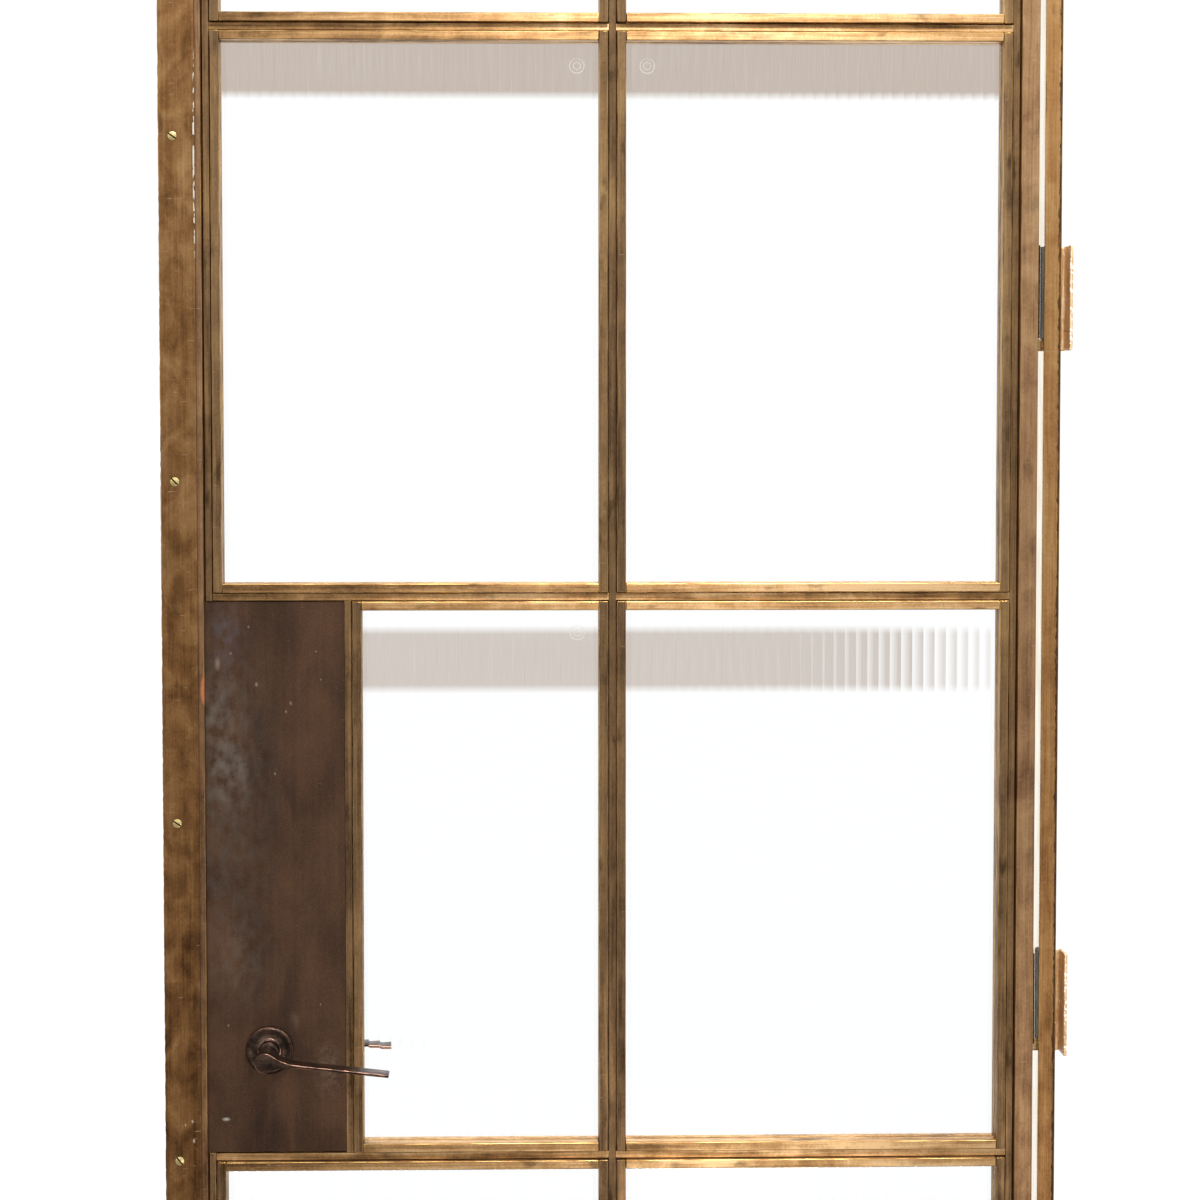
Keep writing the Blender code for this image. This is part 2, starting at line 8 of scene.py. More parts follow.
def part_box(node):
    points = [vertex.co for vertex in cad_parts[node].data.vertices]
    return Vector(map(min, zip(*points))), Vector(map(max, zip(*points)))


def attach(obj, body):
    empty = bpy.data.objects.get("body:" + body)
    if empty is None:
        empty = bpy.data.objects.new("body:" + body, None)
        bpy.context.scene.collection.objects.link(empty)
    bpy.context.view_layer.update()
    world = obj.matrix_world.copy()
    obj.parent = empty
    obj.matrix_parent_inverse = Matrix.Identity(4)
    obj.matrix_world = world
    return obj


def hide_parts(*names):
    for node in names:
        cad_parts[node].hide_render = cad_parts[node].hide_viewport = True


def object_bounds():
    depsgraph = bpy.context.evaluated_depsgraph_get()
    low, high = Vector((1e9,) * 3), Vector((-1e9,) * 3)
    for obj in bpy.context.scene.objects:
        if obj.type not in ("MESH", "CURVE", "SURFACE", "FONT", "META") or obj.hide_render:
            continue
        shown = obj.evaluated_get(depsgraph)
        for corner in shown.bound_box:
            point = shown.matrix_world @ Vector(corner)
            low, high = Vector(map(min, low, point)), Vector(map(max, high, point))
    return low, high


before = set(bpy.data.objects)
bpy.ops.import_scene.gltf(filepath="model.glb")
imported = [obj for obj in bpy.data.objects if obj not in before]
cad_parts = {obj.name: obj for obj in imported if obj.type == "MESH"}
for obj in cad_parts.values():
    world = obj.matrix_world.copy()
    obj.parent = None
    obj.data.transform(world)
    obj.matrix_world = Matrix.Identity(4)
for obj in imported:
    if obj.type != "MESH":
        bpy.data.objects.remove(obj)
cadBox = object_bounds()

# A tall hinged door of antique brass glazing bars with fluted glass, standing in its brass frame.
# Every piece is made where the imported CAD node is, with softened edges and its own finish.
# Sizes are in metres, and the grain of a pattern is in millimetres.

handleCentre = (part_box("rose_front")[0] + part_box("rose_front")[1]) / 2
leafBox = [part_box("lock_stile")[0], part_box("hinge_stile")[1]]
leafMiddleX = (leafBox[0].x + leafBox[1].x) / 2
floorZ = cadBox[0][2]


# Small tools

def hexColour(text):
    # sRGB hex to the linear colour that a shader takes
    channels = [int(text[i:i + 2], 16) / 255 for i in (1, 3, 5)]
    return (*[c / 12.92 if c <= 0.04045 else ((c + 0.055) / 1.055) ** 2.4 for c in channels], 1.0)


def setInputs(tree, node, inputs):
    # Each input takes a value, or a socket to link from
    for name, value in inputs.items():
        if isinstance(value, bpy.types.NodeSocket):
            tree.links.new(value, node.inputs[name])
        else:
            node.inputs[name].default_value = value


def addNode(tree, kind, inputs=None, **settings):
    node = tree.nodes.new(kind)
    for name, value in settings.items():
        setattr(node, name, value)
    setInputs(tree, node, inputs or {})
    return node


def newMaterial(name, values):
    # A material, its tree and its shader with these values set
    material = bpy.data.materials.new(name)
    material.use_nodes = True
    shader = material.node_tree.nodes["Principled BSDF"]
    setInputs(material.node_tree, shader, values)
    return material, material.node_tree, shader


def ramp(tree, value, stops):
    # Colours by value, from stops of a value from 0 to 1 and a hex colour
    node = addNode(tree, "ShaderNodeValToRGB", {"Fac": value})
    elements = node.color_ramp.elements
    while len(elements) < len(stops):
        elements.new(0.5)
    for element, (at, colour) in zip(elements, stops):
        element.position = at
        element.color = hexColour(colour)
    return node.outputs["Color"]


def pointOf(tree):
    return addNode(tree, "ShaderNodeTexCoord").outputs["Object"]


def partsOf(tree, vector):
    return addNode(tree, "ShaderNodeSeparateXYZ", {0: vector}).outputs


def grainNoise(tree, coords, grain, detail=2.0, turn=0.0, distortion=0.0):
    # Noise whose grain is so many millimetres along X, Y and Z
    mapping = addNode(tree, "ShaderNodeMapping", {
        "Vector": coords, "Scale": [1000 / size for size in grain], "Rotation": (0, turn, 0)})
    return addNode(tree, "ShaderNodeTexNoise", {
        "Vector": mapping.outputs["Vector"], "Scale": 1.0, "Detail": detail,
        "Distortion": distortion}).outputs["Fac"]


def mixColour(tree, share, under, over):
    node = addNode(tree, "ShaderNodeMix", data_type="RGBA")
    sockets = [socket for socket in node.inputs if socket.enabled]
    for socket, value in zip(sockets, (share, under, over)):
        if isinstance(value, bpy.types.NodeSocket):
            tree.links.new(value, socket)
        elif isinstance(value, str):
            socket.default_value = hexColour(value)
        else:
            socket.default_value = value
    return [socket for socket in node.outputs if socket.enabled][0]


def rise(tree, value, low, high, start=0.0, end=1.0):
    # Straight step from start to end while value goes from low to high
    return addNode(tree, "ShaderNodeMapRange", {
        "Value": value, "From Min": low, "From Max": high, "To Min": start, "To Max": end}).outputs["Result"]


def maths(tree, operation, first, second=0.0, third=0.0):
    return addNode(tree, "ShaderNodeMath", {0: first, 1: second, 2: third}, operation=operation).outputs[0]


def times(tree, first, second):
    return maths(tree, "MULTIPLY", first, second)


def vectorOf(tree, x=0.0, y=0.0, z=0.0):
    return addNode(tree, "ShaderNodeCombineXYZ", {0: x, 1: y, 2: z}).outputs[0]


def vectorMaths(tree, operation, first, second=(0, 0, 0)):
    node = addNode(tree, "ShaderNodeVectorMath", {0: first, 1: second}, operation=operation)
    return node.outputs["Value" if operation == "LENGTH" else "Vector"]


def swing(tree, pattern, share):
    # A pattern of 0 to 1 turned into a swing about zero
    return times(tree, maths(tree, "SUBTRACT", pattern, 0.5), share)


def addBump(tree, shader, pattern, strength):
    # Fine relief, less than a third of a millimetre deep
    bump = addNode(tree, "ShaderNodeBump", {"Height": pattern, "Strength": strength, "Distance": 0.0003})
    setInputs(tree, shader, {"Normal": bump.outputs["Normal"]})


def addMarks(tree, coords, colour, marks):
    # Rubbed, chipped or dusty patches, each round a point and broken up by noise; squash is how many times
    # narrower a patch is than its radius, along each axis
    for mark in marks:
        away = vectorMaths(tree, "SUBTRACT", coords, mark["at"])
        away = vectorMaths(tree, "MULTIPLY", away, mark["squash"])
        near = rise(tree, vectorMaths(tree, "LENGTH", away), mark["radius"], 0.0)
        broken = grainNoise(tree, coords, mark["grain"], 5)
        broken = rise(tree, broken, mark["low"], mark["low"] + mark["soft"])
        share = times(tree, times(tree, near, broken), mark["share"])
        share = maths(tree, "MINIMUM", share, 1.0)
        colour = mixColour(tree, share, colour, mark["colour"])
    return colour


# Finishes

def drawnNoise(tree, coords, axis, sizes, detail):
    # Noise drawn out along a bar: sizes are its grain along the bar and across it
    long, wide = sizes
    return grainNoise(tree, coords, (long, wide, wide) if axis == "X" else (wide, wide, long), detail)


# Heights, and places across the leaf towards the lock, over which a finish turns darker low down and towards
# the lock
toneSpan = {"low": -0.5, "high": 0.7, "clear": -0.62, "darkest": -0.92}
brassGrain = {"rubbed": 14, "drawn": (90, 1.6), "fine": (30, 0.9), "stain": (46, 19),
              "cloud": (26, 26, 34), "speck": (2.6, 2.6, 3.4), "scratch": (13, 13, 1.6)}


def antiqueBrass(name, finish):
    # Brass drawn to section, chemically darkened and handled for decades: brown with golden rubbed stretches,
    # fine draw lines along its length, and a sheen that spreads across them
    axis = finish["along"]
    material, tree, shader = newMaterial(name, {"Metallic": 1.0, "Anisotropic": finish["anisotropy"]})
    coords = pointOf(tree)
    rubbed = drawnNoise(tree, coords, axis, (finish["rubbedLength"], brassGrain["rubbed"]), 3)
    drawn = drawnNoise(tree, coords, axis, brassGrain["drawn"], 3)
    fine = drawnNoise(tree, coords, axis, brassGrain["fine"], 2)
    cloud = grainNoise(tree, coords, brassGrain["cloud"], 5, distortion=0.6)
    speck = grainNoise(tree, coords, brassGrain["speck"], 3)
    # Darker low down, and towards the lock if the finish leans that way
    spot = partsOf(tree, coords)
    base = rise(tree, spot["Z"], toneSpan["low"], toneSpan["high"], finish["lift"] - finish["fade"],
                finish["lift"] + finish["fade"])
    if finish["lean"]:
        lean = rise(tree, spot["X"], toneSpan["clear"], toneSpan["darkest"], 0, finish["lean"])
        base = maths(tree, "SUBTRACT", base, lean)
    tone = maths(tree, "MULTIPLY_ADD", rubbed, finish["rubbedShare"], base)
    for pattern, share in ((drawn, finish["drawnShare"]), (fine, 0.2), (cloud, finish["cloudShare"]),
                           (speck, 0.28)):
        tone = maths(tree, "ADD", tone, swing(tree, pattern, share))
    colour = ramp(tree, tone, finish["tones"])
    stain = rise(tree, drawnNoise(tree, coords, axis, brassGrain["stain"], 4), 0.60, 0.70)
    colour = mixColour(tree, times(tree, stain, finish["stainShare"]), colour, finish["stain"])
    scratch = rise(tree, grainNoise(tree, coords, brassGrain["scratch"], 1, turn=0.8), 0.74, 0.78)
    colour = mixColour(tree, times(tree, scratch, 0.4), colour, finish["scratch"])
    colour = addMarks(tree, coords, colour, finish["marks"])
    tangent = addNode(tree, "ShaderNodeTangent", direction_type="RADIAL", axis=axis).outputs["Tangent"]
    setInputs(tree, shader, {
        "Base Color": colour, "Tangent": tangent,
        "Roughness": rise(tree, tone, 0.2, 0.8, finish["roughness"] + 0.07, finish["roughness"] - 0.07)})
    addBump(tree, shader, maths(tree, "ADD", drawn, fine), 0.22)
    return material


# lift makes a finish lighter all over, fade lighter with height and lean darker towards the lock
barFinish = {
    "along": "Z", "lean": 0, "lift": -0.01, "fade": 0.04, "anisotropy": 0.75, "roughness": 0.40,
    "rubbedLength": 210, "rubbedShare": 1.0, "drawnShare": 0.5, "cloudShare": 0.5, "stain": "#3D2C1F",
    "stainShare": 0.6, "scratch": "#E2C49A", "marks": [],
    "tones": [(0.12, "#523D2A"), (0.36, "#856A4F"), (0.58, "#AA8862"), (0.86, "#D2AC77")],
}
uprightBrass = antiqueBrass("antiqueBrassDrawnUpright", barFinish)
levelBrass = antiqueBrass("antiqueBrassDrawnLevel", {
    **barFinish, "along": "X", "lean": 0.14, "lift": 0.02, "rubbedShare": 1.15, "fade": -0.02,
    "tones": [(0.12, "#4F3823"), (0.36, "#866644"), (0.58, "#BD9464"), (0.82, "#F0CB99")],
})
rubbedCopper = {"at": (-0.9040, -0.018, 0.024), "squash": (2.4, 1, 0.8), "radius": 0.016, "grain": (4, 4, 6),
                "low": 0.24, "soft": 0.14, "share": 4.0, "colour": "#F09C70"}
rimBrass = antiqueBrass("antiqueBrassRolledRim", {
    **barFinish, "lean": 0.16, "lift": 0.25, "fade": 0.06, "anisotropy": 0.5, "rubbedShare": 0.6,
    "cloudShare": 0.7, "roughness": 0.42, "stainShare": 0.3, "marks": [rubbedCopper],
    "tones": [(0.12, "#6A4D37"), (0.38, "#A27C5C"), (0.60, "#C49B72"), (0.88, "#E2BD90")],
})
sheetBrass = antiqueBrass("antiqueBrassRolledSheet", {
    **barFinish, "along": "X", "lift": 0.34, "fade": 0.0, "anisotropy": 0.4, "rubbedShare": 0.35,
    "cloudShare": 0.3, "drawnShare": 0.12, "roughness": 0.46, "stainShare": 0.2,
    "tones": [(0.15, "#695037"), (0.42, "#8E7252"), (0.62, "#A78963"), (0.9, "#C0A277")],
})
stripLow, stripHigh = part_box("cover_strip")
chip = {"squash": (1, 1, 0.5), "grain": (2, 2, 3), "low": 0.2, "soft": 0.1, "share": 1.0, "colour": "#F4ECE2"}
stripWearAndHighlight = [
    # A broken near-white line down the edge next to the leaf, a painted highlight of the burnished bare metal
    # there with old pale paint, a rubbed outer edge, and a few chips lower down
    {**chip, "at": (stripHigh.x, stripLow.y, 0.585), "squash": (60, 1, 1), "radius": 0.115,
     "grain": (3, 3, 9), "low": 0.47, "soft": 0.03, "share": 6.0, "colour": "#FFF6E4"},
    {**chip, "at": (stripLow.x, stripLow.y, 0.3), "squash": (400, 1, 1), "radius": 0.6,
     "grain": (3, 3, 40), "low": 0.40, "share": 2.0, "colour": "#C79B66"},
    {**chip, "at": (-0.9213, stripLow.y, -0.435), "radius": 0.0012},
    {**chip, "at": (-0.9287, stripLow.y, -0.439), "radius": 0.0009},
    {**chip, "at": (-0.9198, stripLow.y, -0.456), "radius": 0.0015},
]
stripBrass = antiqueBrass("antiqueBrassRolledStrip", {
    **barFinish, "lift": 0.20, "fade": 0.10, "anisotropy": 0.4, "rubbedShare": 0.5, "cloudShare": 1.0,
    "drawnShare": 0.3, "roughness": 0.46, "stainShare": 0.35, "marks": stripWearAndHighlight,
    "tones": [(0.15, "#593D26"), (0.42, "#8C653F"), (0.62, "#A98155"), (0.9, "#C9A472")],
})
jambBrass = antiqueBrass("antiqueBrassRolledJamb", {
    **barFinish, "lift": 0.26, "fade": 0.08, "anisotropy": 0.4, "rubbedShare": 0.5, "cloudShare": 0.6,
    "roughness": 0.44, "stainShare": 0.25,
    "tones": [(0.15, "#7A5533"), (0.42, "#B38353"), (0.62, "#CE9F68"), (0.9, "#EAC792")],
})


def edgeWearAndShade(name, paleColour, darkColour, grain, low, high, roughness, metallic=1.0):
    # An arris or a side in two colours mixed in broken lengths by noise: worn patina and barer metal on
    # rubbed arrises, painted shade and painted light on the strip's side, the jamb's side and the rebate
    material, tree, shader = newMaterial(name, {"Metallic": metallic, "Roughness": roughness})
    coords = pointOf(tree)
    worn = rise(tree, grainNoise(tree, coords, grain, 4), low, high)
    setInputs(tree, shader, {"Base Color": mixColour(tree, worn, darkColour, paleColour)})
    return material


barEdge = edgeWearAndShade("antiqueBrassRubbedArris", "#E3BC78", "#7D5A33", (38, 38, 38), 0.36, 0.62, 0.34)
# The cover strip's arrises, darker than the bars': worn metal, with painted shade for the dark line where the
# strip meets the leaf
stripShadedEdge = edgeWearAndShade("antiqueBrassBurnishedArris", "#A9804F", "#543A24", (16, 16, 26), 0.46, 0.62, 0.4)
leverEdge = edgeWearAndShade("darkBronzeCopperArris", "#CFA08A", "#57443C", (9, 9, 9), 0.40, 0.66, 0.34)
# The hinge jamb's side towards the leaf, pale and glossy: painted light, so the gap beside the leaf shows
# near white
revealLight = edgeWearAndShade("paleBrassPolishedReveal", "#F6ECD6", "#E2CFA8", (20, 20, 60), 0.35, 0.6, 0.10)
# The hinge jamb's rebate floor, dark: painted shade in the rebate
rebateShade = edgeWearAndShade("antiqueBrassSootyRebate", "#8F6644", "#5E432F", (7, 7, 12), 0.5, 0.7, 0.5)
# The cover strip's side towards the leaf, dark and dull: painted shade between the strip and the leaf; the
# screw slots take it too
paintedShadeSide = edgeWearAndShade("antiqueBrassGrimySide", "#4A3524", "#2C2018", (9, 9, 16), 0.5, 0.7, 0.8,
                       metallic=0.2)
plateEdge = edgeWearAndShade("brownBronzeRubbedArris", "#8E623F", "#3A281D", (24, 24, 24), 0.45, 0.65, 0.4)


def darkenedBronze(name, finish):
    # Bronze darkened with oil or acid: near black brown, reddish where the metal grins through
    material, tree, shader = newMaterial(name, {"Metallic": finish["metallic"]})
    coords = pointOf(tree)
    cloud = grainNoise(tree, coords, finish["cloud"], 5, distortion=0.4)
    streak = grainNoise(tree, coords, finish["streak"], 3)
    grain = grainNoise(tree, coords, (1.3, 1.3, 1.6), 3)
    tone = maths(tree, "ADD", cloud, swing(tree, streak, finish["streakShare"]))
    tone = maths(tree, "ADD", tone, swing(tree, grain, 0.4))
    colour = ramp(tree, tone, finish["tones"])
    colour = addMarks(tree, coords, colour, finish["marks"])
    fleck = rise(tree, grainNoise(tree, coords, finish["fleckGrain"], 2, turn=0.7), 0.75, 0.80)
    colour = mixColour(tree, times(tree, fleck, finish["fleckShare"]), colour, finish["fleck"])
    setInputs(tree, shader, {
        "Base Color": colour,
        "Roughness": rise(tree, tone, 0.3, 0.7, finish["roughness"] + 0.06, finish["roughness"] - 0.06)})
    addBump(tree, shader, maths(tree, "ADD", grain, streak), 0.12)
    return material


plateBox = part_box("lock_case")


def onPlate(fromLeft, fromTop):
    # A point of the lock plate's face, in metres from its left and upper edges
    return (plateBox[0].x + fromLeft, plateBox[0].y, plateBox[1].z - fromTop)


# Small pale knocks: from the plate's left edge, from its upper edge, and radius
plateKnocks = [(0.046, 0.027, 0.0011), (0.027, 0.055, 0.0012), (0.090, 0.108, 0.0015), (0.085, 0.117, 0.0013),
               (0.117, 0.053, 0.0010), (0.122, 0.083, 0.0009), (0.073, 0.183, 0.0012), (0.054, 0.088, 0.0019),
               (0.022, 0.452, 0.0012), (0.120, 0.430, 0.0010)]
dust = {"squash": (1, 1, 0.55), "grain": (11, 11, 16), "low": 0.36, "soft": 0.34, "share": 0.30,
        "colour": "#8A8076"}
plateBronze = darkenedBronze("brownBronzeRolledPlate", {
    "metallic": 0.85, "roughness": 0.46, "cloud": (60, 60, 110), "streak": (5, 5, 120), "streakShare": 0.20,
    "tones": [(0.28, "#3F3027"), (0.46, "#533D30"), (0.60, "#624837"), (0.78, "#72523E")],
    "fleckGrain": (7, 7, 1.2), "fleckShare": 0.5, "fleck": "#A09080",
    "marks": [
        {**dust, "at": onPlate(0.000, 0.200), "radius": 0.13, "squash": (1.5, 1, 0.5), "share": 0.6,
         "soft": 0.45, "colour": "#74706A"},
        {**dust, "at": onPlate(0.012, 0.125), "radius": 0.036, "share": 0.5},
        {**dust, "at": onPlate(0.024, 0.185), "radius": 0.026, "share": 0.6},
        {**dust, "at": onPlate(0.022, 0.035), "radius": 0.030, "squash": (1.8, 1, 0.7), "colour": "#756F80",
         "share": 0.5},
        {**dust, "at": onPlate(0.035, 0.385), "radius": 0.040, "share": 0.25},
        {**dust, "at": onPlate(0.013, 0.066), "radius": 0.006, "soft": 0.1, "colour": "#A98E80", "share": 0.7,
         "squash": (1.6, 1, 0.7)},
        {**dust, "at": onPlate(0.019, 0.553), "radius": 0.0042, "low": 0.1, "share": 1.0, "colour": "#CFC6BD",
         "squash": (0.8, 1, 1.7)},
        {**dust, "at": onPlate(0.128, 0.500), "radius": 0.020, "low": 0.38, "colour": "#A08C7C",
         "share": 0.45, "grain": (4, 4, 4)},
        {**dust, "at": onPlate(0.094, 0.448), "radius": 0.009, "colour": "#94796A", "share": 0.4},
        {**dust, "at": onPlate(0.037, 0.174), "radius": 0.011, "low": 0.2, "share": 0.5, "grain": (5, 5, 5)},
        *[{**dust, "at": onPlate(left, top), "radius": radius, "squash": (0.8, 1, 0.6), "low": 0.1,
           "soft": 0.1, "share": 0.9, "colour": "#A08D80"} for left, top, radius in plateKnocks],
    ],
})
leverBronze = darkenedBronze("darkBronzeOilRubbed", {
    "metallic": 1.0, "roughness": 0.36, "cloud": (14, 14, 14), "streak": (20, 3, 2), "streakShare": 0.3,
    "tones": [(0.32, "#2A221F"), (0.50, "#463932"), (0.68, "#665247"), (0.85, "#8E7767")],
    "fleckGrain": (3, 3, 1.2), "fleckShare": 0.4, "fleck": "#A58D7A", "marks": [],
})
hingeBronze = darkenedBronze("darkBronzeHingeBarrel", {
    "metallic": 1.0, "roughness": 0.42, "cloud": (9, 9, 16), "streak": (2, 2, 22), "streakShare": 0.4,
    "tones": [(0.32, "#17110D"), (0.50, "#2A1E16"), (0.68, "#44301F"), (0.86, "#6B4C2E")],
    "fleckGrain": (4, 4, 1.4), "fleckShare": 0.4, "fleck": "#8A6F54", "marks": [],
})


def lugMaterial():
    # Rolled brass cut with shears and left raw, coppery, with plaster still on it
    material, tree, shader = newMaterial("rawBrassPlasteredLug", {})
    coords = pointOf(tree)
    tone = maths(tree, "ADD", grainNoise(tree, coords, (2.2, 2.2, 40), 3),
                 swing(tree, grainNoise(tree, coords, (4, 4, 5), 3), 0.4))
    colour = ramp(tree, tone, [(0.30, "#B98550"), (0.44, "#DDB27C"), (0.56, "#F0D2A4"), (0.72, "#FFF0D8")])
    plaster = addNode(tree, "ShaderNodeAttribute", attribute_name="plaster").outputs["Fac"]
    share = rise(tree, plaster, 0.35, 0.65)
    setInputs(tree, shader, {
        "Base Color": mixColour(tree, share, colour, "#F0E9E0"), "Metallic": rise(tree, share, 0, 1, 0.4, 0),
        "Roughness": rise(tree, share, 0, 1, 0.40, 0.85)})
    addBump(tree, shader, grainNoise(tree, coords, (1.5, 1.5, 4), 3), 0.2)
    return material


def screwMaterial():
    # New turned brass: yellow, worn a little brighter and duller in spots
    material, tree, shader = newMaterial("brightBrassTurnedScrew", {"Metallic": 1.0})
    coords = pointOf(tree)
    worn = grainNoise(tree, coords, (1.2, 1.2, 1.2), 3)
    setInputs(tree, shader, {
        "Base Color": ramp(tree, worn, [(0.3, "#D9B566"), (0.5, "#FBE39C"), (0.7, "#FFF3C8")]),
        "Roughness": rise(tree, worn, 0.3, 0.7, 0.36, 0.22)})
    return material


def glassMaterial():
    # Clear rolled soda glass: seen through by plain values alone
    material, _, _ = newMaterial("clearGlassRolledReeded", {
        "Base Color": hexColour("#FBFCFC"), "Roughness": 0.0, "IOR": 1.5, "Transmission Weight": 1.0})
    return material


def markMaterial():
    # Sand-etched glass: a dull pale bloom on the smooth face
    material, tree, shader = newMaterial("etchedGlassMark", {"Roughness": 0.7, "Alpha": 0.26})
    coords = pointOf(tree)
    bloom = mixColour(tree, grainNoise(tree, coords, (1, 1, 1), 2), "#DAD8D4", "#FFFFFF")
    setInputs(tree, shader, {"Base Color": bloom})
    return material


lugBrass = lugMaterial()
screwBrass = screwMaterial()
reededGlass = glassMaterial()
etchedMark = markMaterial()
print("finishes made")


# Making and finishing pieces

def clamp(value, low=0.0, high=1.0):
    return min(high, max(low, value))


def addRing(shape, centre, radius, out, sides):
    # A ring of points round an axis along Y
    turns = [math.tau * i / sides for i in range(sides)]
    return [shape.verts.new((centre.x + radius * math.cos(turn), centre.y + out,
                             centre.z + radius * math.sin(turn))) for turn in turns]


def joinRings(shape, first, second, slot=0):
    for i in range(len(first)):
        j = (i + 1) % len(first)
        face = shape.faces.new((first[i], first[j], second[j], second[i]))
        face.material_index = slot


def addObject(name, data):
    added = bpy.data.objects.new(name, data)
    bpy.context.scene.collection.objects.link(added)
    return added


def shapeToPiece(name, shape, materials):
    mesh = bpy.data.meshes.new(name)
    shape.to_mesh(mesh)
    shape.free()
    piece = addObject(name, mesh)
    for material in materials:
        mesh.materials.append(material)
    return piece


def mergedCopy(node):
    # A CAD node's mesh is loose triangles: they are welded and flat faces made whole
    shape = bmesh.new()
    shape.from_mesh(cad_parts[node].data)
    bmesh.ops.remove_doubles(shape, verts=shape.verts, dist=1e-5)
    bmesh.ops.dissolve_limit(shape, angle_limit=math.radians(0.5), verts=shape.verts, edges=shape.edges)
    for face in shape.faces:
        face.material_index = 0
    return shape


def soften(piece, width, segments=2, edgeSlot=1, angle=30, flat=True):
    # A small rounded arris in its own finish; flat keeps the light on the faces beside it even
    piece.data.shade_smooth()
    bevel = piece.modifiers.new("arris", "BEVEL")
    bevel.width = width
    bevel.segments = segments
    bevel.limit_method = "ANGLE"
    bevel.angle_limit = math.radians(angle)
    bevel.material = edgeSlot
    if flat:
        piece.modifiers.new("even", "WEIGHTED_NORMAL").keep_sharp = True


def settle(piece, sharp=38):
    # Modifiers become plain mesh, so nothing is live and patterns stay put
    graph = bpy.context.evaluated_depsgraph_get()
    mesh = bpy.data.meshes.new_from_object(piece.evaluated_get(graph))
    piece.modifiers.clear()
    old = piece.data
    piece.data = mesh
    mesh.name = piece.name
    if old.users == 0:
        bpy.data.meshes.remove(old)
    if not mesh.has_custom_normals:
        mesh.shade_smooth()
        mesh.set_sharp_from_angle(angle=math.radians(sharp))
    return piece


def place(piece, body, slotName, *nodes):
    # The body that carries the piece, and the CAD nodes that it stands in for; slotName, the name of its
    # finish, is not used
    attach(piece, body)
    if nodes:
        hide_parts(*nodes)
    return piece


def addBars(names, body, materials, width):
    for node, pieceName in names.items():
        shape = mergedCopy(node)
        if node in rimEdges:
            # The stile's broad rim has its own finish
            for face in shape.faces:
                if (face.calc_center_median().x - rimEdges[node]["x"]) * rimEdges[node]["out"] > 0:
                    face.material_index = 2
        piece = shapeToPiece(pieceName, shape, materials)
        soften(piece, width)
        place(settle(piece), body, "aged_brass", node)


# Surround and glazing bars

barSizes = {"arris": 0.0005, "crossArris": 0.0002, "rim": 0.0197}
rimEdges = {"lock_stile": {"x": leafBox[0].x + barSizes["rim"], "out": -1},
            "hinge_stile": {"x": leafBox[1].x - barSizes["rim"], "out": 1}}
addBars({"lock_stile": "lockStile", "hinge_stile": "hingeStile", "middle_bar": "middleGlazingBar",
         "lock_bar": "lockGlazingBar"}, "leaf", [uprightBrass, barEdge, rimBrass], barSizes["arris"])
crossBars = {f"cross_bar_{side}_{row}": f"crossBar{side.title()}{row}" for side in ("left", "right")
             for row in (1, 2, 3)}
addBars({"top_rail": "topRail", "bottom_rail": "bottomRail", "kick_bar": "kickGlazingBar"}, "leaf",
        [levelBrass, barEdge], barSizes["arris"])
addBars(crossBars, "leaf", [levelBrass, barEdge], barSizes["crossArris"])
addBars({"head": "frameHead"}, "frame", [levelBrass, barEdge], barSizes["arris"])
addBars({"lock_jamb": "lockJamb"}, "frame", [jambBrass, barEdge], barSizes["arris"])
print("bars made")


# Hinge jamb and cover strip, whose outer edges are hacked and uneven

raggedSizes = {"step": 0.0025, "jambBite": 0.0018, "stripBite": 0.0006, "arris": 0.0007, "rebate": 0.003,
               "edgeDepth": 0.010, "faceDepth": 0.002}


def raggedBar(node, pieceName, materials, edgeX, towards, bite, faceY):
    # towards is the way into the bar from its ragged edge, which is bitten where it is in front of faceY; the
    # third finish, painted light on the jamb and painted shade on the strip, goes on the side away from it,
    # and the fourth, painted shade, on the step behind the face
    shape = mergedCopy(node)
    low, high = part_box(node)
    count = int((high.z - low.z) / raggedSizes["step"])
    for number in range(1, count):
        bmesh.ops.bisect_plane(shape, geom=shape.verts[:] + shape.edges[:] + shape.faces[:], dist=1e-7,
                               plane_co=(0, 0, low.z + number * (high.z - low.z) / count), plane_no=(0, 0, 1))
    for vertex in shape.verts:
        if abs(vertex.co.x - edgeX) < 1e-5 and vertex.co.y < faceY:
            rough = noise.noise((vertex.co.x * 50, vertex.co.y * 90, vertex.co.z * 190))
            wave = noise.noise((3, vertex.co.y * 40, vertex.co.z * 22))
            vertex.co.x += towards * bite * clamp(0.25 + rough * 0.9 + wave * 0.5)
    for face in shape.faces:
        if face.normal.x * towards > 0.9:
            face.material_index = 2
        behindFace = low.y + raggedSizes["faceDepth"] < face.calc_center_median().y < 0
        if face.normal.y < -0.9 and behindFace and len(materials) > 3:
            face.material_index = 3
    piece = shapeToPiece(pieceName, shape, materials)
    soften(piece, raggedSizes["arris"])
    return place(settle(piece), "frame", "aged_brass", node)


jambLow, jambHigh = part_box("hinge_jamb")
raggedBar("hinge_jamb", "hingeJamb", [jambBrass, barEdge, revealLight, rebateShade],
          jambHigh.x - raggedSizes["rebate"], -1, raggedSizes["jambBite"],
          jambLow.y + raggedSizes["edgeDepth"])
raggedBar("cover_strip", "coverStrip", [stripBrass, stripShadedEdge, paintedShadeSide], stripLow.x, 1,
          raggedSizes["stripBite"], stripHigh.y)
print("jamb and strip made")


# Geometry Nodes helpers

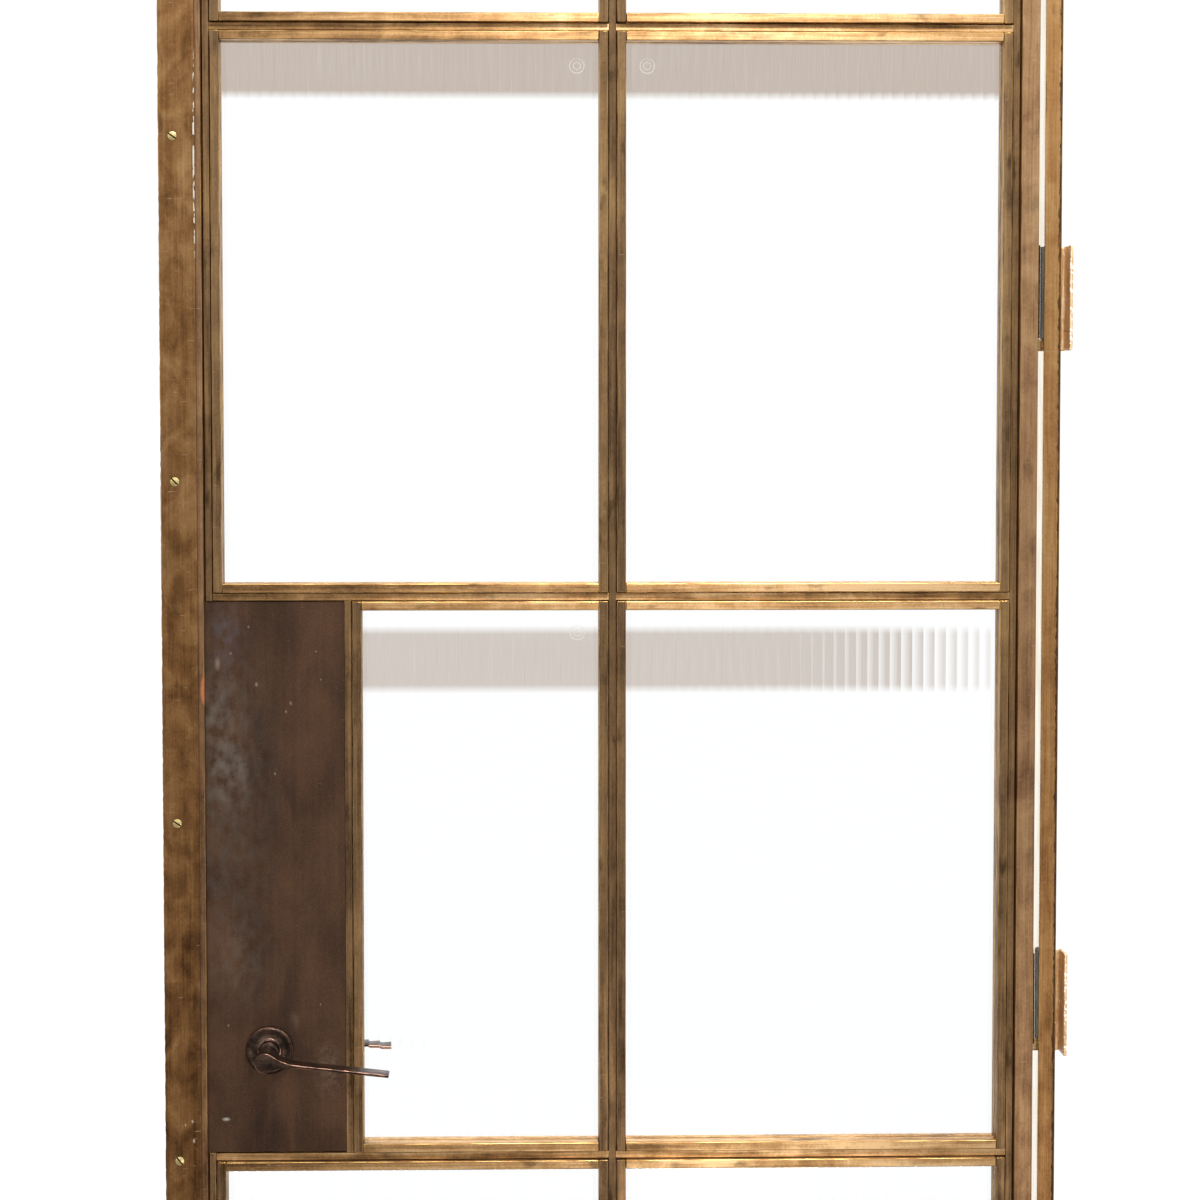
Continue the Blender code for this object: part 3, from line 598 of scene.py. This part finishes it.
def newTree(name, numbers, vectors=(), materials=(), objects=()):
    tree = bpy.data.node_groups.new(name, "GeometryNodeTree")
    tree.interface.new_socket("Geometry", in_out="OUTPUT", socket_type="NodeSocketGeometry")
    for names, kind in ((numbers, "NodeSocketFloat"), (vectors, "NodeSocketVector"),
                        (materials, "NodeSocketMaterial"), (objects, "NodeSocketObject")):
        for socket in names:
            tree.interface.new_socket(socket, in_out="INPUT", socket_type=kind)
    return tree, addNode(tree, "NodeGroupInput").outputs


def growPiece(name, tree, values):
    # The tree's own result as a plain mesh, with each input set by its identifier
    piece = addObject(name, bpy.data.meshes.new(name))
    grow = piece.modifiers.new("grow", "NODES")
    grow.node_group = tree
    for item in tree.interface.items_tree:
        if item.in_out == "INPUT":
            grow[item.identifier] = values[item.name]
    return piece


def finishTree(tree, geometry, material, mark=None, markedMaterial=None):
    # Real mesh in its material, with another one on the faces that carry a mark
    real = addNode(tree, "GeometryNodeRealizeInstances", {"Geometry": geometry}).outputs[0]
    real = addNode(tree, "GeometryNodeSetMaterial", {"Geometry": real, "Material": material}).outputs[0]
    if mark:
        marked = addNode(tree, "GeometryNodeInputNamedAttribute", {"Name": mark}, data_type="BOOLEAN")
        real = addNode(tree, "GeometryNodeSetMaterial", {
            "Geometry": real, "Selection": marked.outputs["Attribute"],
            "Material": markedMaterial}).outputs[0]
    addNode(tree, "NodeGroupOutput", {"Geometry": real})
    return tree


# Glazing beads: four bars round each pane, the uprights whole and the level ones butted between them

def beadTree():
    tree, given = newTree("glazingBeadRing", ["Width", "Depth", "Height", "Bead", "Joint Gap"],
                          ["Centre"], ["Upright Brass", "Level Brass"])
    inside = maths(tree, "SUBTRACT", given["Width"], times(tree, given["Bead"], 2.0))
    across = maths(tree, "SUBTRACT", inside, times(tree, given["Joint Gap"], 2.0))
    sides = []
    for upright in (True, False):
        size = vectorOf(tree, given["Bead"] if upright else across, given["Depth"],
                        given["Height"] if upright else given["Bead"])
        bar = addNode(tree, "GeometryNodeMeshCube", {"Size": size}).outputs["Mesh"]
        span = given["Width" if upright else "Height"]
        reach = times(tree, maths(tree, "SUBTRACT", span, given["Bead"]), 0.5)
        for sign in (-1.0, 1.0):
            offset = vectorOf(tree, **{"x" if upright else "z": times(tree, reach, sign)})
            sides.append(addNode(tree, "GeometryNodeTransform", {
                "Geometry": bar, "Translation": offset}).outputs[0])
    join = addNode(tree, "GeometryNodeJoinGeometry")
    for side in sides:
        tree.links.new(side, join.inputs[0])
    spot = addNode(tree, "GeometryNodeInputPosition").outputs[0]
    fromMiddle = maths(tree, "ABSOLUTE", partsOf(tree, spot)["X"])
    jointMiddle = times(tree, maths(tree, "SUBTRACT", inside, given["Joint Gap"]), 0.5)
    level = maths(tree, "LESS_THAN", fromMiddle, jointMiddle)
    marked = addNode(tree, "GeometryNodeStoreNamedAttribute", {
        "Geometry": join.outputs[0], "Name": "level", "Value": level}, data_type="BOOLEAN", domain="FACE")
    moved = addNode(tree, "GeometryNodeTransform", {
        "Geometry": marked.outputs[0], "Translation": given["Centre"]}).outputs[0]
    return finishTree(tree, moved, given["Upright Brass"], "level", given["Level Brass"])


beadSizes = {"width": 0.0095, "jointGap": 0.00025, "arris": 0.0007}
beadRing = beadTree()
beadNodes = ["bead_kick"] + [f"bead_{side}_{row}" for side in ("left", "right") for row in range(4)]
for node in beadNodes:
    low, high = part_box(node)
    words = node.split("_")
    piece = growPiece("bead" + "".join(word.title() for word in words[1:]), beadRing, {
        "Width": high.x - low.x, "Depth": high.y - low.y, "Height": high.z - low.z,
        "Bead": beadSizes["width"], "Joint Gap": beadSizes["jointGap"], "Centre": (low + high) / 2,
        "Upright Brass": uprightBrass, "Level Brass": levelBrass})
    settle(piece)
    piece.data.materials.append(barEdge)
    soften(piece, beadSizes["arris"], edgeSlot=len(piece.data.materials) - 1)
    place(settle(piece), "leaf", "aged_brass", node)
print("beads made")


# Reeded panes: smooth towards the front, with upright flutes on the back

def paneTree():
    tree, given = newTree("reededPane", ["Width", "Thickness", "Height", "Reed Pitch", "Reed Depth", "Steps"],
                          ["Centre"], ["Glass"])
    size = vectorOf(tree, given["Width"], given["Thickness"], given["Height"])
    reeds = maths(tree, "DIVIDE", given["Width"], given["Reed Pitch"])
    columns = times(tree, reeds, given["Steps"])
    columns = addNode(tree, "FunctionNodeFloatToInt", {0: columns}).outputs[0]
    slab = addNode(tree, "GeometryNodeMeshCube", {"Size": size, "Vertices X": columns}).outputs["Mesh"]
    spot = addNode(tree, "GeometryNodeInputPosition").outputs[0]
    parts = partsOf(tree, spot)
    # How far across its reed a point is, from -1 to 1; the valley between two reeds is a reed depth lower
    across = maths(tree, "FRACT", maths(tree, "DIVIDE", parts["X"], given["Reed Pitch"]))
    across = maths(tree, "SUBTRACT", times(tree, across, 2.0), 1.0)
    dip = times(tree, times(tree, across, across), given["Reed Depth"])
    offset = vectorOf(tree, y=times(tree, dip, -1.0))
    back = maths(tree, "GREATER_THAN", parts["Y"], 0.0)
    reeded = addNode(tree, "GeometryNodeSetPosition", {"Geometry": slab, "Selection": back, "Offset": offset})
    moved = addNode(tree, "GeometryNodeTransform", {
        "Geometry": reeded.outputs[0], "Translation": given["Centre"]}).outputs[0]
    return finishTree(tree, moved, given["Glass"])


paneSizes = {"pitch": 0.012, "depth": 0.0006, "steps": 10.0}
reededPane = paneTree()
for side in ("left", "right"):
    for row in range(4):
        node = f"glass_{side}_{row}"
        low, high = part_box(node)
        piece = growPiece(f"pane{side.title()}{row}", reededPane, {
            "Width": high.x - low.x, "Thickness": high.y - low.y, "Height": high.z - low.z,
            "Reed Pitch": paneSizes["pitch"], "Reed Depth": paneSizes["depth"], "Steps": paneSizes["steps"],
            "Centre": (low + high) / 2, "Glass": reededGlass})
        settle(piece, sharp=8)
        piece.visible_shadow = False
        place(piece, "leaf", "fluted_glass", node)
print("panes made")


# Etched rounds near the upper inner corners of the panes, left plain

# Two rings, as radius and width, about a centre so far in and down from the pane's corner
markSizes = {"rings": [(0.0082, 0.0011), (0.0042, 0.00088)], "sides": 64, "down": 0.034, "in": 0.032,
             "proud": 0.00004}


def etchedRound(name, paneNode):
    low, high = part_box(paneNode)
    centreX = high.x - markSizes["in"] if "left" in paneNode else low.x + markSizes["in"]
    centre = Vector((centreX, low.y - markSizes["proud"], high.z - markSizes["down"]))
    shape = bmesh.new()
    for radius, width in markSizes["rings"]:
        outer, inner = [addRing(shape, centre, r, 0, markSizes["sides"]) for r in (radius, radius - width)]
        joinRings(shape, outer, inner)
    piece = shapeToPiece(name, shape, [etchedMark])
    piece.visible_shadow = False
    return place(settle(piece), "leaf", "fluted_glass")


etchedRound("etchedRoundLeft", "glass_left_2")
etchedRound("etchedRoundRight", "glass_right_2")
etchedRound("etchedRoundLock", "glass_left_1")


# Slotted screws of the cover strip

def screwShape(sizes):
    # Countersunk head with a driver slot, its face towards -Y at the origin
    shape = bmesh.new()
    dome = [(sizes["head"] * share, -sizes["crown"] * (1 - share ** 2)) for share in (0.25, 0.5, 0.75, 0.93)]
    outline = [*dome, (sizes["head"], 0.0), (sizes["head"], sizes["rim"]), (sizes["shank"], sizes["sink"]),
               (sizes["shank"], sizes["length"])]
    rings = [addRing(shape, Vector(), radius, out, sizes["sides"]) for radius, out in outline]
    for first, second in zip(rings, rings[1:]):
        joinRings(shape, first, second)
    shape.faces.new(rings[-1])
    shape.faces.new(rings[0][::-1])
    bmesh.ops.recalc_face_normals(shape, faces=shape.faces)
    return shape


def slotCutter(sizes):
    # Longer than the head is wide, and half above its face
    shape = bmesh.new()
    bmesh.ops.create_cube(shape, size=1, matrix=Matrix.Diagonal((
        sizes["head"] * 2.4, sizes["slotDepth"] * 2, sizes["slotWidth"], 1)))
    return shape


def screwTree():
    tree, given = newTree("stripScrewRow", ["Spacing", "Turn", "Turn Spread"], ["First"], ["Brass", "Grime"],
                          ["Screw"])
    count = tree.interface.new_socket("Count", in_out="INPUT", socket_type="NodeSocketInt")
    row = addNode(tree, "GeometryNodeMeshLine", {
        "Count": given[count.name], "Start Location": given["First"],
        "Offset": vectorOf(tree, z=given["Spacing"])}).outputs[0]
    low = maths(tree, "SUBTRACT", given["Turn"], given["Turn Spread"])
    high = maths(tree, "ADD", given["Turn"], given["Turn Spread"])
    turn = addNode(tree, "FunctionNodeRandomValue", {2: low, 3: high, "Seed": 4},
                   data_type="FLOAT").outputs[1]
    screw = addNode(tree, "GeometryNodeObjectInfo", {"Object": given["Screw"]}).outputs["Geometry"]
    driven = addNode(tree, "GeometryNodeInstanceOnPoints", {
        "Points": row, "Instance": screw, "Rotation": vectorOf(tree, y=turn)}).outputs[0]
    return finishTree(tree, driven, given["Brass"], "slot", given["Grime"])


def slottedScrew(sizes):
    # One screw with its slot cut, and the slot's sides and floor marked for the painted shade in them
    screw = shapeToPiece("screwTemplate", screwShape(sizes), [screwBrass])
    cutter = shapeToPiece("slotCutter", slotCutter(sizes), [screwBrass])
    screw.modifiers.new("slot", "BOOLEAN").object = cutter
    settle(screw)
    bpy.data.objects.remove(cutter, do_unlink=True)
    inSlot = screw.data.attributes.new("slot", "BOOLEAN", "FACE")
    for face in screw.data.polygons:
        inSlot.data[face.index].value = abs(face.center.z) < sizes["slotWidth"] / 2 + 1e-5
    return screw


screwSizes = {"head": 0.0047, "crown": 0.0007, "rim": 0.0004, "shank": 0.0021, "sink": 0.0027,
              "length": 0.0175, "sides": 40, "slotWidth": 0.0016, "slotDepth": 0.0012,
              "turn": math.radians(42), "spread": math.radians(13)}
screwNodes = [f"strip_screw_{number}" for number in range(1, 9)]
(firstLow, firstHigh), (lastLow, lastHigh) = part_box(screwNodes[0]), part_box(screwNodes[-1])
firstScrew, lastScrew = (firstLow + firstHigh) / 2, (lastLow + lastHigh) / 2
firstScrew.y = firstLow.y
template = slottedScrew(screwSizes)
stripScrews = growPiece("stripScrews", screwTree(), {
    "Count": len(screwNodes), "Spacing": (lastScrew.z - firstScrew.z) / (len(screwNodes) - 1),
    "First": firstScrew, "Turn": screwSizes["turn"], "Turn Spread": screwSizes["spread"],
    "Brass": screwBrass, "Grime": paintedShadeSide, "Screw": template})
settle(stripScrews)
bpy.data.objects.remove(template, do_unlink=True)
place(stripScrews, "frame", "bright_brass", *screwNodes)
print("screws made")


# Kick panel and lock case

plateSizes = {"arris": 0.0004}
for name, node, materials, slotName in (("kickPanel", "kick_panel", [sheetBrass, barEdge], "aged_brass"),
                                        ("lockCase", "lock_case", [plateBronze, plateEdge], "brown_bronze")):
    plate = shapeToPiece(name, mergedCopy(node), materials)
    soften(plate, plateSizes["arris"])
    place(settle(plate), "leaf", slotName, node)


# Roses and levers

def turnedShape(profile, sides, centre, facing):
    # profile: radius, distance out from the plate, and whether it has the edge's finish; facing is -1 for the
    # front and 1 for the back
    shape = bmesh.new()
    rings = [addRing(shape, centre, radius, facing * out, sides) for radius, out, _ in profile]
    for k in range(len(profile) - 1):
        joinRings(shape, rings[k], rings[k + 1], 1 if profile[k][2] and profile[k + 1][2] else 0)
    shape.faces.new(rings[0])
    shape.faces.new(rings[-1][::-1])
    bmesh.ops.recalc_face_normals(shape, faces=shape.faces)
    return shape


roseSizes = {"radius": 0.0255, "thickness": 0.008, "shoulder": 0.0032, "sides": 96, "lip": 0.0125}


def roseProfile(sizes):
    # From the plate outwards: side, rounded shoulder, gently dished face, lip round the neck
    radius, high, shoulder, lip = sizes["radius"], sizes["thickness"], sizes["shoulder"], sizes["lip"]
    profile = [(radius, 0.0, False), (radius, high - shoulder, False)]
    steps = 8
    for step in range(1, steps + 1):
        angle = math.pi / 2 * step / steps
        profile.append((radius - shoulder + shoulder * math.cos(angle),
                        high - shoulder + shoulder * math.sin(angle), step <= steps / 2))
    profile += [(radius * 0.78, high - 0.0004, False), (lip + 0.0012, high - 0.0009, False),
                (lip + 0.0006, high - 0.0004, False), (lip, high, True),
                (lip - 0.0012, high, True), (lip - 0.0018, high - 0.0012, False)]
    return profile


for name, node, facing in (("roseFront", "rose_front", -1), ("roseBack", "rose_back", 1)):
    low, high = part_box(node)
    foot = Vector(((low.x + high.x) / 2, high.y if facing < 0 else low.y, (low.z + high.z) / 2))
    piece = shapeToPiece(name, turnedShape(roseProfile(roseSizes), roseSizes["sides"], foot, facing),
                         [leverBronze, leverEdge])
    place(settle(piece, sharp=50), "leaf", "dark_bronze", node)

# half is half the blade's thickness, slope its fall in degrees, and leave where the sweep leaves the hub
leverSizes = {"hub": 0.0105, "reach": 0.075, "depth": 0.025, "half": 0.0015, "length": 0.130, "slope": 6.4,
              "leave": 70, "neck": 0.0103, "neckSides": 64, "arris": 0.0007}


def leverOutline(sizes):
    # Round hub, then a hollow sweep down to a thin flat blade, in X and Z about the hub's centre
    hub, half = sizes["hub"], sizes["half"]
    upper = []
    hubSteps, sweepSteps, tipSteps = 24, 14, 6
    for step in range(hubSteps + 1):
        angle = math.pi - (math.pi - math.radians(sizes["leave"])) * step / hubSteps
        upper.append((hub * math.cos(angle), hub * math.sin(angle)))
    sweep = [upper[-1], (0.0110, 0.0072), (0.0170, 0.0017), (0.0340, half)]
    for step in range(1, sweepSteps + 1):
        t = step / sweepSteps
        weights = ((1 - t) ** 3, 3 * t * (1 - t) ** 2, 3 * t * t * (1 - t), t ** 3)
        upper.append(tuple(sum(w * p[k] for w, p in zip(weights, sweep)) for k in (0, 1)))
    upper += [(distance, half) for distance in (0.055, 0.08, 0.105)]
    tip = half * 0.6
    for step in range(1, tipSteps):
        angle = math.pi / 2 * (1 - step / tipSteps)
        upper.append((sizes["length"] - tip + tip * math.cos(angle), half * math.sin(angle) ** 0.6))
    lower = [(x, -z) for x, z in reversed(upper[1:])]
    slope = Matrix.Rotation(-math.radians(sizes["slope"]), 2)
    return [slope @ Vector(p) for p in upper + lower]


def leverShape(plateY, facing, sizes):
    outerY = plateY + facing * sizes["reach"]
    innerY = outerY - facing * sizes["depth"]
    shape = bmesh.new()
    outline = leverOutline(sizes)
    rings = [[shape.verts.new((handleCentre.x + point.x, y, handleCentre.z + point.y)) for point in outline]
             for y in (outerY, innerY)]
    shape.faces.new(rings[0])
    shape.faces.new(rings[1][::-1])
    joinRings(shape, *rings)
    bmesh.ops.recalc_face_normals(shape, faces=shape.faces)
    return shape


def neckProfile(sizes):
    # Collar by the rose, two turned grooves, then plain up to the hub
    neck, top = sizes["neck"], sizes["reach"] - sizes["depth"] * 0.6
    return [(neck, 0.005, False), (neck, 0.016, False), (neck - 0.0012, 0.0172, False),
            (neck - 0.0012, 0.0188, False), (neck - 0.0002, 0.020, True), (neck - 0.0002, 0.0215, True),
            (neck - 0.0014, 0.0225, False), (neck - 0.0014, 0.0245, False), (neck - 0.0006, 0.026, False),
            (neck - 0.0006, top, False)]


for name, node, facing in (("leverFront", "lever_front", -1), ("leverBack", "lever_back", 1)):
    low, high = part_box(node)
    plateY = (low.y if facing < 0 else high.y) - facing * leverSizes["reach"]
    blade = shapeToPiece(name, leverShape(plateY, facing, leverSizes), [leverBronze, leverEdge])
    soften(blade, leverSizes["arris"], 3, angle=50, flat=False)
    settle(blade)
    foot = Vector((handleCentre.x, plateY, handleCentre.z))
    neck = turnedShape(neckProfile(leverSizes), leverSizes["neckSides"], foot, facing)
    neck.from_mesh(blade.data)
    neck.to_mesh(blade.data)
    neck.free()
    place(settle(blade), "lever", "dark_bronze", node)
print("lock, roses and levers made")


# Hinges: the leaf's barrels, and the frame's lugs, sheared, hammered and still plastered

lugSizes = {"voxel": 0.0010, "hammer": 0.00022, "lump": 0.0004, "shear": 0.0012, "clear": 0.004,
            "blend": 0.006, "edgeReach": 0.005, "edgeBlend": 0.004, "shearReach": 0.002}
hingeSizes = {"arris": 0.0004}


def raggedLug(number):
    node = f"hinge_lug_{number}"
    low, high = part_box(node)
    piece = shapeToPiece(f"hingeLug{number}", mergedCopy(node), [lugBrass])
    remesh = piece.modifiers.new("fine", "REMESH")
    remesh.mode = "VOXEL"
    remesh.voxel_size = lugSizes["voxel"]
    settle(piece)
    mesh = piece.data
    plaster = mesh.attributes.new("plaster", "FLOAT", "POINT")
    normals = [vertex.normal.copy() for vertex in mesh.vertices]
    for vertex, normal in zip(mesh.vertices, normals):
        spot = vertex.co
        # The knuckle and pin, left of the jamb's outer face, stay true
        outside = clamp((spot.x + lugSizes["clear"]) / lugSizes["blend"])
        lump = 0.6 * noise.noise(spot * 260 + Vector((number * 7, 0, 0))) + 0.5 * noise.noise(spot * 620)
        edge = clamp((low.y + lugSizes["edgeReach"] - spot.y) / lugSizes["edgeBlend"])
        amount = max(0.0, lump - 0.36 + 0.40 * edge) * outside
        plaster.data[vertex.index].value = min(1.0, amount * 3.2)
        dent = noise.noise(Vector((spot.x * 90, spot.y * 90, spot.z * 35))) * lugSizes["hammer"]
        ends = clamp(1 - min(spot.z - low.z, high.z - spot.z) / lugSizes["shearReach"])
        bite = ends * max(0.0, noise.noise((spot.x * 300, spot.y * 300, number))) * lugSizes["shear"]
        move = normal * ((amount * 1.6) * lugSizes["lump"] - abs(dent)) * outside
        move.z += (bite if spot.z < (low.z + high.z) / 2 else -bite) * outside
        moved = spot + move
        vertex.co = [clamp(moved[k], low[k], high[k]) for k in range(3)]
    mesh.update()
    return place(settle(piece, sharp=60), "frame", "raw_brass", node)


for number in range(1, 5):
    raggedLug(number)
    node = f"hinge_leaf_{number}"
    barrel = shapeToPiece(f"hingeLeaf{number}", mergedCopy(node), [hingeBronze, leverEdge])
    soften(barrel, hingeSizes["arris"])
    place(settle(barrel), "leaf", "dark_bronze", node)
print("hinges made")


# Stage: pale floor, a white board behind that only shows from the front, soft light

stageSizes = {"reach": 12.0, "fadeNear": 0.9, "fadeFar": 3.2, "boardY": 1.07, "boardLeft": -1.65,
              "boardRight": 0.75, "boardHeight": 2.85}


def stagePlane(name, corners, material):
    shape = bmesh.new()
    shape.faces.new([shape.verts.new(corner) for corner in corners])
    piece = shapeToPiece(name, shape, [material])
    return piece


def floorMaterial(sizes):
    # Pale matt paint that washes out to white away from the door
    material, tree, shader = newMaterial("palePaintedFloor", {
        "Base Color": hexColour("#EFEDEA"), "Roughness": 0.7})
    spot = pointOf(tree)
    away = vectorMaths(tree, "SUBTRACT", spot, (leafMiddleX, 0, floorZ))
    distance = vectorMaths(tree, "LENGTH", away)
    white = addNode(tree, "ShaderNodeEmission", {"Color": hexColour("#FFFFFF"), "Strength": 1.0}).outputs[0]
    mixed = addNode(tree, "ShaderNodeMixShader", {
        0: rise(tree, distance, sizes["fadeNear"], sizes["fadeFar"]), 1: shader.outputs[0],
        2: white}).outputs[0]
    tree.links.new(mixed, tree.nodes["Material Output"].inputs["Surface"])
    return material


def boardMaterial(sizes):
    # White paint lit from in front until it burns out. Through the glass it has the soft shadow that each row
    # of level bars throws on it. From behind there is nothing there
    material, tree, _ = newMaterial("whiteLitBackdrop", {})
    coords = pointOf(tree)
    spot = partsOf(tree, coords)
    shade = 0.0
    for row, band in sizes["bands"].items():
        low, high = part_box(f"cross_bar_left_{row}")
        height = (low.z + high.z) / 2 * sizes["throw"] - sizes["drop"]
        away = maths(tree, "ABSOLUTE", maths(tree, "SUBTRACT", spot["Z"], height))
        dark = rise(tree, away, sizes["half"] + sizes["soft"], sizes["half"] - sizes["soft"])
        dark = times(tree, dark, rise(tree, spot["X"], sizes["left"] - 0.004, sizes["left"]))
        dark = times(tree, dark, rise(
            tree, spot["X"], band["right"] + band["fade"], band["right"] - band["fade"]))
        shade = maths(tree, "MAXIMUM", shade, times(tree, dark, band["depth"]))
    mottle = grainNoise(tree, coords, (9, 9, 70), 4)
    shade = times(tree, shade, rise(tree, mottle, 0.3, 0.7, 0.86, 1.06))
    throughGlass = addNode(tree, "ShaderNodeLightPath").outputs["Is Transmission Ray"]
    colour = mixColour(tree, times(tree, shade, throughGlass), "#FFFFFF", sizes["colour"])
    glow = addNode(tree, "ShaderNodeEmission", {"Color": colour, "Strength": sizes["strength"]}).outputs[0]
    behind = addNode(tree, "ShaderNodeNewGeometry").outputs["Backfacing"]
    clear = addNode(tree, "ShaderNodeBsdfTransparent").outputs[0]
    oneSided = addNode(tree, "ShaderNodeMixShader", {0: behind, 1: glow, 2: clear}).outputs[0]
    tree.links.new(oneSided, tree.nodes["Material Output"].inputs["Surface"])
    return material


# throw and drop carry a bar's height to the middle of its shadow; the shadow beside the lock ends softly
shadowSizes = {"throw": 1.379, "drop": 0.1955, "half": 0.0415, "soft": 0.006, "left": -1.2,
               "colour": "#BFB0A4", "strength": 1.06, "bands": {
                   1: {"right": 0.3, "fade": 0.01, "depth": 0.8},
                   2: {"right": 0.0, "fade": 0.10, "depth": 0.8},
                   3: {"right": 0.3, "fade": 0.01, "depth": 1.0}}}
reach = stageSizes["reach"]
floor = stagePlane("floor", [(-reach, -reach, floorZ), (reach, -reach, floorZ), (reach, reach, floorZ),
                             (-reach, reach, floorZ)], floorMaterial(stageSizes))
floor.visible_glossy = False
boardY, boardTop = stageSizes["boardY"], floorZ + stageSizes["boardHeight"]
boardLeft, boardRight = stageSizes["boardLeft"], stageSizes["boardRight"]
stagePlane("board", [(boardLeft, boardY, floorZ), (boardRight, boardY, floorZ),
                     (boardRight, boardY, boardTop), (boardLeft, boardY, boardTop)],
           boardMaterial(shadowSizes))

# The room's light is dim from below and bright from above, and the room itself is seen as plain white
world = bpy.data.worlds.new("softRoom")
bpy.context.scene.world = world
world.use_nodes = True
sky = world.node_tree
way = partsOf(sky, addNode(sky, "ShaderNodeTexCoord").outputs["Generated"])
glow = ramp(sky, rise(sky, way["Z"], -1, 1), [
    (0.0, "#928E89"), (0.40, "#A09C97"), (0.50, "#C1BDB8"), (0.57, "#EDEBE8"), (1.0, "#FFFFFF")])
path = addNode(sky, "ShaderNodeLightPath").outputs
seen = maths(sky, "MAXIMUM", path["Is Camera Ray"], path["Is Transmission Ray"])
light = mixColour(sky, seen, glow, "#FFFFFF")
sky.links.new(light, sky.nodes["Background"].inputs["Color"])
sky.nodes["Background"].inputs["Strength"].default_value = 1.0


def stageLamp(name, lamp):
    data = bpy.data.lights.new(name, "AREA")
    data.size = lamp["size"]
    data.energy = lamp["power"]
    data.color = hexColour(lamp["colour"])[:3]
    data.use_shadow = lamp["shadow"]
    lit = addObject(name, data)
    lit.location = lamp["spot"]
    lit.rotation_euler = (Vector(lamp["at"]) - Vector(lamp["spot"])).to_track_quat("-Z", "Y").to_euler()
    lit.visible_camera = False


stageLamp("keyLamp", {"spot": (leafMiddleX + 0.28, -2.4, 3.1), "at": (leafMiddleX, 0, 0), "power": 125,
                      "size": 0.5, "colour": "#FFFAF4", "shadow": True})
stageLamp("fillLamp", {"spot": (leafMiddleX + 0.3, -2.6, -1.15), "at": (leafMiddleX, 0, -0.5), "power": 3.5,
                       "size": 0.35, "colour": "#FFF6EA", "shadow": False})

# Fitted to the corners of the panes; degrees down from level, and to the right of straight ahead
viewSizes = {"at": (-0.5856, -3.3945, 0.3135), "lens": 96, "sensor": 36, "down": 3.302, "right": 1.651}
cameraData = bpy.data.cameras.new("camera")
cameraData.lens = viewSizes["lens"]
cameraData.sensor_width = viewSizes["sensor"]
camera = addObject("camera", cameraData)
camera.location = viewSizes["at"]
camera.rotation_euler = (math.radians(90 - viewSizes["down"]), 0, -math.radians(viewSizes["right"]))
bpy.context.scene.camera = camera
bpy.context.scene.view_settings.view_transform = "Standard"
print("stage made")
